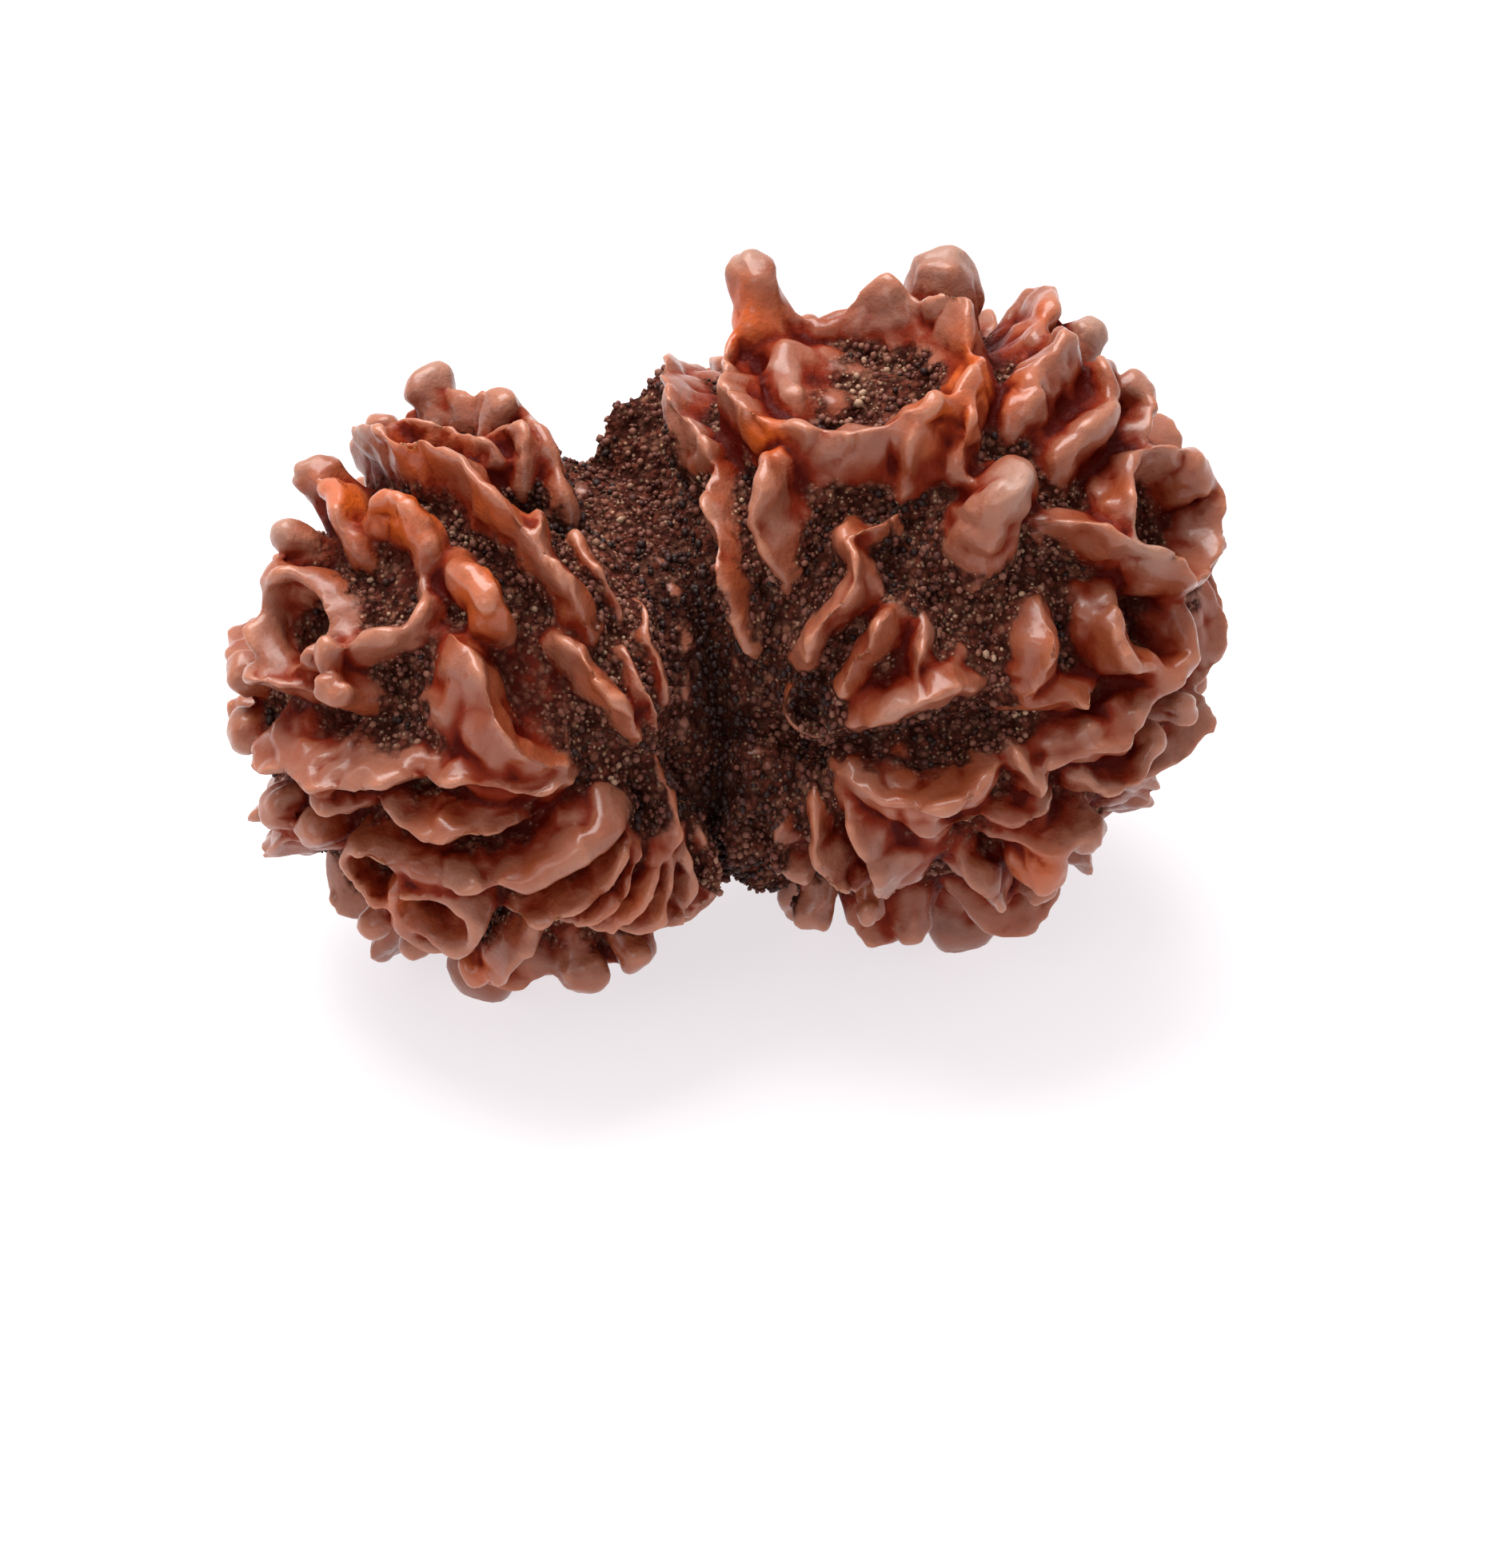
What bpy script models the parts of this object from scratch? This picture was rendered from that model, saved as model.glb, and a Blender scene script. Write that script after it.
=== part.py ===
"""A rudraksha bead of the twin kind: two round stones that grew together side by side.

One solid. Two ball-shaped bodies overlap, and ridges, fingers and cups stand on them. A place on a stone is
given by polar, the angle from its front pole, clock, the angle round the pole with 0 at the top and 90 on the
side of +X, and height above the ground of the stone. Lengths are millimetres, angles degrees, and the mesh is
in metres. The part rests on four flat feet at z = 0, and its front poles look towards -Y.
"""

import math
import random

import bmesh
import bpy
import numpy as np

MM = 0.001
NODE = "twin_bead"

LEFT_CENTRE = (-7.05, 0.0, 10.2)
LEFT_RADIUS = 8.0
LEFT_AXIS_TURN = 24.0
LEFT_AXIS_TILT = 3.0
RIGHT_CENTRE = (5.85, 0.0, 11.75)
RIGHT_RADIUS = 9.0
RIGHT_AXIS_TURN = -36.0
RIGHT_AXIS_TILT = 0.0

PIT_DEPTH = 1.5
PIT_ANGLE = 9.0
SEAM_DEPTH = 0.7
SEAM_ANGLE = 4.5
LEFT_SEAMS = (20.0, 95.0, 165.0, 236.0, 286.0)
LEFT_DENT = (85.0, 18.0)
DENT_DEPTH = 1.1
DENT_ANGLE = 24.0
RIGHT_SEAMS = (35.0, 76.0, 113.0, 195.0, 262.0, 322.0)

SINK = 1.1
FLARE_HEIGHT = 0.42
FLARE_SHARE = 0.42
END_NARROWING = 0.7
FLOOR_GAP = 0.35
FOOT_RADIUS = 1.1
FOOT_EXTRA = 0.5
FOOT_BULGE_LEVEL = 0.8
ROUND_SIDES = 8
KNOB_PROFILE = ((0.0, 1.45), (0.5, 0.88), (0.8, 1.06), (1.0, 0.45))
MELT_CUBE = 0.2
MELT_PASSES = 2
TRIANGLES = 10800

# Each ridge is its crest, as (polar, clock, height), then half its thickness at the crest and how far its
# root spreads to the left and to the right of someone who walks along it.
LEFT_RIDGES = (
    # the lumpy crown and the long ridge beside it
    (((132, 2, 1.9), (120, 6, 2.5), (108, 8, 2.2), (97, 9, 1.9), (86, 6, 1.8), (75, 5, 1.1)), 0.45, 1.2, 1.2),
    (((112, 344, 2.2), (106, 350, 2.4), (98, 353, 2.3), (88, 355, 1.8)), 0.4, 0.9, 0.9),
    (((98, 356, 1.6), (91, 1, 2.3), (84, 358, 1.8)), 0.45, 0.9, 0.9),
    (((130, 345, 2.1), (112, 343, 2.8), (98, 344, 2.7), (86, 346, 2.7), (73, 345, 2.6), (62, 347, 2.3),
      (53, 346, 2.0), (43, 343, 1.0)), 0.32, 1.5, 0.8),
    (((70, 354, 1.5), (64, 348, 2.3)), 0.35, 0.8, 0.8),
    # three orange lobes below it
    (((113, 331, 2.0), (104, 327, 2.4), (96, 323, 1.6)), 0.8, 1.1, 1.1),
    (((97, 330, 1.8), (90, 333, 2.4), (84, 332, 2.4), (79, 329, 1.5)), 0.9, 1.2, 1.2),
    (((76, 333, 1.2), (68, 331, 2.3), (61, 329, 2.8), (56, 327, 1.9)), 1.1, 1.4, 1.4),
    # blades that run to the pole
    (((47, 336, 1.2), (38, 335, 2.2), (28, 335, 2.3), (19, 338, 1.2)), 0.3, 1.2, 0.7),
    (((36, 352, 1.0), (26, 350, 1.6), (17, 352, 0.9)), 0.3, 0.7, 0.7),
    (((64, 0, 0.9), (54, 358, 1.5), (45, 357, 0.9)), 0.3, 0.8, 0.8),
    (((44, 6, 0.8), (34, 4, 1.4), (24, 6, 0.9)), 0.3, 0.8, 0.8),
    # the three-sided peak, with its flat facet and overhanging foot
    (((64, 321, 1.3), (56, 318, 2.3), (50, 313, 2.8), (44, 306, 2.8), (36, 303, 2.1), (28, 307, 1.2)),
     0.3, 0.9, 2.9),
    (((57, 289, 1.0), (50, 288, 1.9), (40, 291, 2.1), (32, 296, 1.9), (26, 300, 1.0)), 0.32, 2.2, 0.6),
    # the long low blade on the left side, and what stands round it
    (((104, 273, 1.3), (93, 275, 2.1), (82, 277, 2.3), (71, 280, 2.3), (61, 285, 2.1), (55, 288, 1.2)),
     0.3, 2.0, 0.6),
    (((83, 305, 2.0), (75, 309, 2.2), (70, 317, 1.8), (76, 325, 1.2)), 0.45, 1.1, 1.1),
    (((105, 291, 1.9), (96, 291, 2.3), (87, 293, 1.4)), 0.5, 0.9, 0.9),
    (((84, 272, 1.5), (76, 273, 2.2), (69, 275, 1.3)), 0.5, 0.9, 0.9),
    (((65, 277, 1.2), (58, 274, 2.0), (51, 273, 2.1), (45, 276, 2.2), (36, 277, 1.1)), 0.32, 1.4, 0.7),
    (((63, 260, 1.4), (53, 258, 2.1), (44, 257, 2.1), (36, 260, 1.2)), 0.5, 1.2, 1.2),
    # the broad slab and the fan of fins under the pole
    (((13, 284, 1.2), (19, 277, 2.0), (25, 268, 2.4), (31, 261, 2.5), (38, 255, 2.1)), 1.1, 1.5, 1.5),
    (((12, 262, 1.1), (19, 247, 2.0), (28, 241, 2.3), (36, 239, 2.2), (43, 239, 1.3)), 0.3, 0.8, 0.7),
    (((11, 242, 1.1), (20, 231, 2.1), (28, 229, 2.3), (36, 230, 1.4)), 0.32, 0.8, 1.0),
    (((9, 216, 1.0), (17, 213, 1.9), (25, 214, 2.1), (33, 218, 1.2)), 0.3, 0.7, 0.7),
    (((9, 193, 1.0), (17, 195, 1.9), (26, 198, 2.1), (35, 203, 1.2)), 0.3, 0.7, 0.7),
    (((9, 168, 1.0), (18, 175, 1.8), (28, 182, 2.0), (37, 190, 1.2)), 0.3, 0.7, 0.7),
    (((10, 146, 0.9), (19, 156, 1.7), (29, 165, 1.9), (39, 172, 1.2)), 0.3, 0.7, 0.7),
    (((8, 350, 0.2), (2, 300, 1.0), (5, 205, 1.6), (12, 204, 1.2)), 0.3, 0.8, 0.8),
    (((43, 226, 1.5), (52, 222, 2.2), (62, 217, 1.6)), 0.5, 1.0, 1.0),
    (((66, 216, 1.4), (62, 208, 2.2), (56, 203, 1.5)), 0.5, 1.0, 1.0),
    (((44, 176, 1.2), (49, 180, 2.1), (55, 188, 1.4)), 0.5, 1.0, 1.0),
    (((68, 246, 1.4), (64, 236, 2.0), (61, 228, 1.4)), 0.45, 0.9, 0.9),
)

RIGHT_RIDGES = (
    # the web that climbs from the notch, and what stands along the seam between the stones
    (((98, 309, 2.0), (91, 304, 2.5), (84, 299, 2.5), (79, 292, 2.4), (76, 285, 2.0)), 0.6, 2.2, 2.2),
    (((98, 310, 1.8), (91, 311, 2.8), (82, 315, 2.6), (71, 321, 2.4), (61, 328, 1.7)), 0.32, 0.8, 1.4),
    (((60, 331, 1.3), (50, 331, 1.9), (42, 333, 2.0), (33, 335, 1.9), (23, 333, 1.1)), 0.3, 0.7, 0.8),
    # the smooth slope inside the big cup, and its buttresses
    (((88, 336, 1.7), (78, 339, 1.6), (69, 346, 1.4)), 1.2, 2.4, 2.6),
    (((73, 13, 3.0), (66, 13, 2.7), (59, 15, 1.3)), 0.4, 1.3, 1.3),
    (((81, 17, 2.4), (73, 20, 2.5), (65, 24, 1.5)), 0.35, 0.9, 0.9),
    # the folds and spurs beyond it
    (((132, 10, 1.8), (124, 14, 2.8), (112, 19, 2.5), (102, 19, 1.5)), 0.8, 1.3, 1.3),
    (((111, 24, 2.0), (101, 24, 2.8), (90, 24, 2.8), (81, 25, 1.6)), 0.9, 2.4, 1.3),
    (((113, 33, 2.1), (104, 33, 2.6), (95, 37, 2.5), (87, 36, 2.3), (79, 38, 1.4)), 0.9, 1.5, 1.7),
    (((113, 40, 2.3), (104, 44, 2.1), (95, 46, 1.2)), 0.4, 0.9, 0.9),
    # the diamond-shaped boulder
    (((75, 31, 1.5), (70, 32, 2.8), (63, 32, 3.1), (58, 33, 2.5), (54, 31, 1.4)), 1.1, 1.7, 1.8),
    # the right side: a pale crest, a hook and a three-sided peak
    (((69, 42, 1.5), (74, 48, 2.5), (79, 55, 2.6), (84, 62, 2.6), (91, 67, 1.6)), 0.35, 1.3, 0.7),
    (((74, 59, 1.3), (69, 65, 2.3), (69, 73, 2.5), (74, 79, 2.6), (81, 80, 2.6), (86, 75, 2.4), (87, 68, 1.5)),
     0.8, 1.2, 1.4),
    (((60, 52, 1.3), (55, 58, 2.8), (52, 64, 2.5), (48, 71, 1.4)), 0.35, 1.7, 1.3),
    (((46, 72, 1.0), (53, 74, 2.1), (59, 76, 1.9), (64, 78, 1.0)), 0.4, 1.6, 0.7),
    (((47, 89, 1.3), (54, 87, 2.3), (62, 85, 2.6), (70, 83, 2.3), (77, 85, 1.3)), 0.5, 1.3, 1.7),
    (((57, 98, 1.5), (65, 99, 2.2), (72, 95, 1.9)), 0.45, 0.9, 0.9),
    (((43, 84, 1.3), (47, 91, 2.1), (48, 98, 1.6)), 0.35, 0.8, 0.8),
    # fins and slabs round the pole
    (((41, 28, 0.9), (37, 29, 2.3), (31, 30, 2.2), (24, 29, 1.7), (18, 35, 1.0)), 0.3, 1.0, 0.8),
    (((40, 35, 1.2), (36, 42, 1.9), (29, 48, 1.1)), 0.3, 0.7, 0.7),
    (((15, 46, 0.9), (21, 50, 1.8), (27, 52, 2.4), (33, 55, 2.4), (39, 59, 2.0), (44, 63, 0.9)), 0.45, 1.5, 1.0),
    (((11, 92, 1.1), (18, 92, 2.1), (26, 91, 2.5), (34, 89, 2.5), (40, 88, 1.4)), 0.32, 0.7, 2.6),
    (((14, 105, 1.0), (24, 107, 1.9), (33, 108, 2.0), (39, 103, 1.3)), 0.35, 1.8, 0.6),
    (((11, 110, 1.1), (17, 126, 2.0), (25, 138, 2.4), (33, 145, 2.1), (39, 146, 1.2)), 0.3, 2.5, 0.7),
    (((10, 147, 1.0), (18, 155, 2.0), (26, 157, 2.2), (34, 157, 1.3)), 0.32, 0.8, 1.0),
    (((11, 178, 1.0), (20, 179, 1.9), (31, 178, 1.5)), 0.32, 0.8, 0.8),
    (((12, 215, 0.9), (22, 212, 1.6), (32, 210, 1.1)), 0.32, 0.8, 0.8),
    (((50, 6, 1.3), (46, 9, 2.2), (42, 15, 2.4), (38, 17, 2.3), (32, 13, 2.2), (26, 9, 1.9), (20, 4, 1.0)),
     0.3, 0.8, 1.0),
    (((53, 15, 1.2), (47, 11, 2.1)), 0.3, 0.7, 0.7),
    (((60, 343, 1.5), (54, 346, 2.7), (47, 347, 2.6), (41, 349, 2.1), (36, 350, 1.1)), 0.65, 1.2, 1.2),
    # the cluster low on the right
    (((43, 112, 1.3), (52, 111, 2.3), (61, 110, 1.8)), 0.45, 1.0, 1.0),
    (((40, 125, 1.3), (47, 129, 2.3), (55, 135, 2.2), (63, 141, 1.3)), 0.45, 1.1, 1.1),
    (((39, 104, 1.4), (46, 104, 1.9), (53, 102, 1.3)), 0.35, 0.8, 0.8),
    (((60, 150, 1.6), (65, 147, 2.5), (70, 142, 2.5), (73, 135, 1.5)), 0.45, 1.1, 0.9),
    (((52, 176, 1.3), (55, 170, 2.3), (58, 165, 2.2), (60, 159, 1.4)), 0.5, 1.2, 1.2),
    # the low web between the stones below the poles
    (((10, 232, 1.0), (19, 212, 1.6), (29, 201, 1.8), (39, 196, 1.9), (47, 192, 1.3)), 0.8, 1.8, 1.8),
)

# Each cup is the crest of its closed rim, then half its thickness and how far it spreads out and in. The rim
# is listed clockwise as seen from outside, so that its right side is the inner one.
LEFT_CUPS = (
    (((107, 303, 2.0), (103, 310, 2.5), (95, 311, 1.7), (88, 306, 1.5), (87, 299, 2.2), (94, 294, 1.6),
      (103, 296, 2.3)), 0.45, 1.3, 0.7),
    (((73, 262, 1.8), (66, 263, 1.9), (62, 256, 1.7), (66, 250, 1.9), (73, 252, 1.6)), 0.35, 0.8, 0.6),
    (((64, 251, 1.9), (58, 255, 2.2), (51, 252, 2.1), (48, 244, 2.2), (53, 238, 2.3), (60, 238, 2.0),
      (65, 244, 1.9)), 0.5, 1.1, 0.8),
)
RIGHT_CUPS = (
    (((84, 330, 2.3), (75, 332, 2.6), (67, 337, 2.5), (63, 346, 2.4), (62, 355, 2.3), (63, 3, 2.5), (67, 10, 3.0),
      (73, 15, 2.6), (81, 16, 3.1), (89, 13, 2.2), (95, 7, 3.2), (100, 359, 2.0), (100, 351, 2.9),
      (96, 343, 1.7), (91, 335, 2.2)), 0.4, 1.2, 1.5),
    (((105, 53, 2.6), (108, 60, 2.9), (103, 67, 2.4), (94, 70, 2.3), (85, 66, 2.6), (79, 58, 2.4),
      (82, 50, 2.5), (93, 46, 2.2)), 0.4, 0.9, 0.8),
    (((19, 20, 0.6), (16, 40, 0.8), (10, 48, 0.7), (7, 20, 0.5), (10, 350, 0.5), (16, 0, 0.6)), 0.3, 0.6, 0.4),
)

# Each knob is (polar, clock) of its root, (polar, clock, height) of its tip, and its radius.
LEFT_KNOBS = (
    ((121, 5), (123, 5, 3.3), 0.85),
    ((126, 353), (129, 353, 2.4), 0.6),
    ((99, 4), (101, 5, 2.6), 0.7),
    ((115, 330), (121, 331, 2.8), 0.9),
    ((112, 316), (115, 316, 2.3), 0.85),
    ((107, 308), (109, 308, 2.4), 0.75),
    ((75, 299), (77, 297, 2.6), 0.72),
    ((80, 305), (82, 303, 2.6), 0.62),
    ((112, 284), (114, 284, 2.2), 0.9),
    ((110, 271), (112, 271, 2.0), 0.85),
    ((93, 262), (95, 262, 2.1), 0.9),
    ((82, 262), (84, 262, 1.9), 0.8),
    ((61, 219), (63, 218, 2.1), 0.65),
    ((51, 198), (53, 196, 2.3), 0.9),
    ((43, 187), (45, 185, 2.1), 0.7),
    ((70, 229), (72, 228, 1.9), 0.65),
    ((72, 240), (74, 240, 2.0), 0.7),
)
RIGHT_KNOBS = (
    ((83, 330), (94, 333, 4.5), 0.98),
    ((112, 358), (115, 356, 3.2), 1.35),
    ((119, 26), (121, 26, 2.7), 0.9),
    ((110, 40), (112, 40, 2.7), 0.85),
    ((105, 56), (107, 56, 2.9), 0.9),
    ((80, 92), (82, 92, 2.2), 0.6),
    ((71, 94), (73, 94, 2.1), 0.6),
    ((44, 181), (46, 180, 2.3), 0.65),
    ((40, 161), (42, 161, 2.1), 0.6),
    ((55, 161), (57, 161, 2.3), 0.8),
    ((52, 118), (54, 118, 2.9), 0.85),
    ((61, 112), (63, 112, 2.3), 0.8),
    ((62, 133), (64, 133, 2.2), 0.7),
)

# Feet, as (x, y) under each stone.
LEFT_FEET = ((-8.9, -2.3), (-7.9, 2.9))
RIGHT_FEET = ((7.3, -2.9), (8.1, 2.6))

# The lists cover the side that faces SEEN_SIDE; a rule covers the rest of the surface.
SEEN_SIDE = (-0.17, -0.80, 0.57)
SEEN_LIMIT = 0.27
RULE_SEED = 108
RULE_SPACING = 2.9
RULE_CLEARANCE = 2.0
RULE_JITTER = (3.0, 5.0)
RULE_TURN = 60.0
RULE_BOW = 0.4
RULE_HEIGHTS = (1.9, 3.0)
RULE_REACHES = (1.2, 2.5)
RIDGE_WIDTHS = ((0.32, 0.52), (0.8, 1.8), (1.6, 0.9))
RULE_RISE = ((-1.0, 0.5), (-0.4, 0.95), (0.3, 1.0), (1.0, 0.5))
LOWEST_SHARE = 0.35
POLE_ZONE = 50.0
POLE_TURN_SHARE = 0.25
SEAM_CLEARANCE = 1.2
SEAM_FADE = 6.0
SEAM_TOP = 11.0
SEAM_RISE = 0.6
RIM_FROM = -0.3
RIM_LOWERING = 0.75
KNOB_SHARE = 0.2
KNOB_RADII = (0.6, 0.9)
CUP_SHARE = 0.14
CUP_SIZES = (1.1, 1.6)
CUP_WALL = (0.38, 0.9, 0.6)
CUP_CORNERS = 6


class Stone:
    """One of the two stones: its centre, ground radius, and the frame of its poles."""

    def __init__(self, centre, radius, turn, tilt, seams, dent=None):
        turn, tilt = math.radians(turn), math.radians(tilt)
        self.centre = np.array(centre)
        self.radius = radius
        self.seams = seams
        self.dent = dent
        level = math.cos(tilt)
        self.axis = np.array([math.sin(turn) * level, -math.cos(turn) * level, math.sin(tilt)])
        side = np.cross([0.0, 0.0, 1.0], self.axis)
        self.side = side / np.linalg.norm(side)
        self.up = np.cross(self.axis, self.side)

    def outward(self, polar, clock):
        """The unit vector at polar and clock: cos(polar) along the axis, sin(polar) round it."""
        polar, clock = np.radians(polar)[..., None], np.radians(clock)[..., None]
        round_axis = np.cos(clock) * self.up + np.sin(clock) * self.side
        return np.cos(polar) * self.axis + np.sin(polar) * round_axis

    def dent_depth(self, polar, clock):
        """How far the ground lies below the ball: a broad hollow round the stone's dent."""
        if self.dent is None:
            return np.zeros(np.shape(polar))
        middle = self.outward(np.float64(self.dent[0]), np.float64(self.dent[1]))
        away = np.degrees(np.arccos(np.clip(self.outward(polar, clock) @ middle, -1, 1)))
        return DENT_DEPTH * np.exp(-((away / DENT_ANGLE) ** 2))

    def place(self, polar, clock, height):
        """The point at this polar and clock that stands height above the ball, kept off the floor."""
        ray = self.outward(np.asarray(polar, float), np.asarray(clock, float))
        reach = self.radius + np.asarray(height, float)
        lowest = (FLOOR_GAP - self.centre[2]) / np.minimum(ray[..., 2], -1e-6)
        reach = np.where(ray[..., 2] < 0, np.minimum(reach, lowest), reach)
        return self.centre + ray * reach[..., None]


def new_mesh_object(name, points, faces, collection):
    mesh = bpy.data.meshes.new(name)
    mesh.from_pydata((np.asarray(points) * MM).tolist(), [], faces)
    mesh.validate()
    obj = bpy.data.objects.new(name, mesh)
    collection.objects.link(obj)
    return obj


def ring_faces(rings, sides, closed):
    """Triangles of a tube of rings, with its two ends filled unless it closes on itself."""
    faces = []
    for ring in range(rings if closed else rings - 1):
        here, there = ring * sides, (ring + 1) % rings * sides
        for k in range(sides):
            n = (k + 1) % sides
            faces += [(here + k, here + n, there + n), (here + k, there + n, there + k)]
    if not closed:
        last = (rings - 1) * sides
        faces += [(0, k + 1, k) for k in range(1, sides - 1)]
        faces += [(last, last + k, last + k + 1) for k in range(1, sides - 1)]
    return faces


def ridge(stone, crest, half, left, right, collection, closed=False):
    """A ridge swept along its crest: six-sided, thin at the crest and flared to a root sunk in the stone."""
    polar, clock, height = np.array(crest, float).T
    ground = stone.place(polar, clock, np.zeros(len(crest)))
    outward = stone.outward(polar, clock)
    if closed:
        along = np.roll(ground, -1, 0) - np.roll(ground, 1, 0)
    else:
        along = np.gradient(ground, axis=0)
    across = np.cross(along, outward)
    across /= np.linalg.norm(across, axis=1)[:, None]
    narrow = np.ones(len(crest))
    if not closed:
        narrow[[0, -1]] = END_NARROWING
    top = np.linalg.norm(stone.place(polar, clock, height) - stone.centre, axis=1) - stone.radius
    flare_left = half + FLARE_SHARE * (left - half)
    flare_right = half + FLARE_SHARE * (right - half)
    section = (
        (-left, -SINK, 0.0),
        (-flare_left, 0.0, FLARE_HEIGHT),
        (-half, 0.0, 1.0),
        (half, 0.0, 1.0),
        (flare_right, 0.0, FLARE_HEIGHT),
        (right, -SINK, 0.0),
    )
    rings = [
        ground + across * (narrow * offset)[:, None] + outward * (depth + rise * top)[:, None]
        for offset, depth, rise in section
    ]
    points = np.stack(rings, axis=1).reshape(-1, 3)
    return new_mesh_object("ridge", points, ring_faces(len(crest), len(section), closed), collection)


def knob(stone, root, tip, radius, collection):
    """A finger of round section from a root in the stone to a rounded head."""
    start = stone.place(root[0], root[1], -SINK)
    end = stone.place(tip[0], tip[1], tip[2])
    axis = (end - start) / np.linalg.norm(end - start)
    side = np.cross(axis, [0.3, 0.2, 0.9])
    side /= np.linalg.norm(side)
    other = np.cross(axis, side)
    angles = np.arange(ROUND_SIDES) * 2 * math.pi / ROUND_SIDES
    ring = np.cos(angles)[:, None] * side + np.sin(angles)[:, None] * other
    rings = [start + (end - start) * share + ring * radius * wide for share, wide in KNOB_PROFILE]
    faces = ring_faces(len(rings), ROUND_SIDES, False)
    return new_mesh_object("knob", np.concatenate(rings), faces, collection)


def foot(stone, x, y, collection):
    """A low blunt tubercle under a stone, which reaches a little below z = 0 and is cut flat there."""
    angles = np.arange(ROUND_SIDES) * 2 * math.pi / ROUND_SIDES
    ring = np.stack([np.cos(angles), np.sin(angles), np.zeros(ROUND_SIDES)], axis=1)
    away = np.array([x, y]) - stone.centre[:2]
    ground = stone.centre[2] - math.sqrt(stone.radius**2 - away @ away)
    levels = ((ground + SINK, 1.7), (ground * 0.6, 1.0), (FOOT_BULGE_LEVEL, 1.15), (-FOOT_EXTRA, 0.6))
    points = np.concatenate([np.array([x, y, z]) + ring * FOOT_RADIUS * wide for z, wide in levels])
    faces = [tuple(reversed(face)) for face in ring_faces(len(levels), ROUND_SIDES, False)]
    return new_mesh_object("foot", points, faces, collection)


def stone_body(stone, collection):
    """The ground of a stone: a ball with a pit at each pole, a shallow groove along each seam and its dent."""
    clocks = []
    for seam, following in zip(stone.seams, stone.seams[1:] + (stone.seams[0] + 360.0,)):
        clocks += [seam - SEAM_ANGLE, seam, seam + SEAM_ANGLE]
        gap = following - seam - 2 * SEAM_ANGLE
        between = max(1, round(gap / 16.0) - 1)
        clocks += [seam + SEAM_ANGLE + gap * (k + 1) / (between + 1) for k in range(between)]
    clocks = np.array(clocks)
    polars = np.array([5.0, 10, 20, 33, 47, 61, 75, 90, 105, 119, 133, 147, 160, 170, 175])
    polar, clock = np.meshgrid(polars, clocks, indexing="ij")
    from_pole = np.minimum(polar, 180.0 - polar)
    pit = PIT_DEPTH * np.exp(-((from_pole / PIT_ANGLE) ** 2))
    groove = np.isin(clock, stone.seams) * SEAM_DEPTH * np.sin(np.radians(polar)) ** 0.5
    points = stone.place(polar, clock, -pit - groove - stone.dent_depth(polar, clock)).reshape(-1, 3)
    ends = stone.place([0.0, 180.0], [0.0, 0.0], [-PIT_DEPTH, -PIT_DEPTH])
    columns = len(clocks)
    faces = []
    for row in range(len(polars) - 1):
        for k in range(columns):
            a, b = row * columns + k, row * columns + (k + 1) % columns
            faces += [(a, b + columns, a + columns), (a, b, b + columns)]
    top, bottom = len(points), len(points) + 1
    last = (len(polars) - 1) * columns
    faces += [(top, (k + 1) % columns, k) for k in range(columns)]
    faces += [(bottom, last + k, last + (k + 1) % columns) for k in range(columns)]
    return new_mesh_object("ground", np.concatenate([points, ends]), faces, collection)


def taken_places(stone, ridges, cups, knobs):
    """Points on the ground that the listed tubercles already stand on."""
    spots = [(polar, clock) for crest, *_ in ridges for polar, clock, _ in crest]
    spots += [(polar, clock) for rim, *_ in cups for polar, clock, _ in rim]
    spots += [root for root, *_ in knobs]
    polar, clock = np.array(spots, float).T
    return stone.place(polar, clock, np.zeros(len(spots)))


def between(ends, share):
    return ends[0] + (ends[1] - ends[0]) * share


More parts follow.
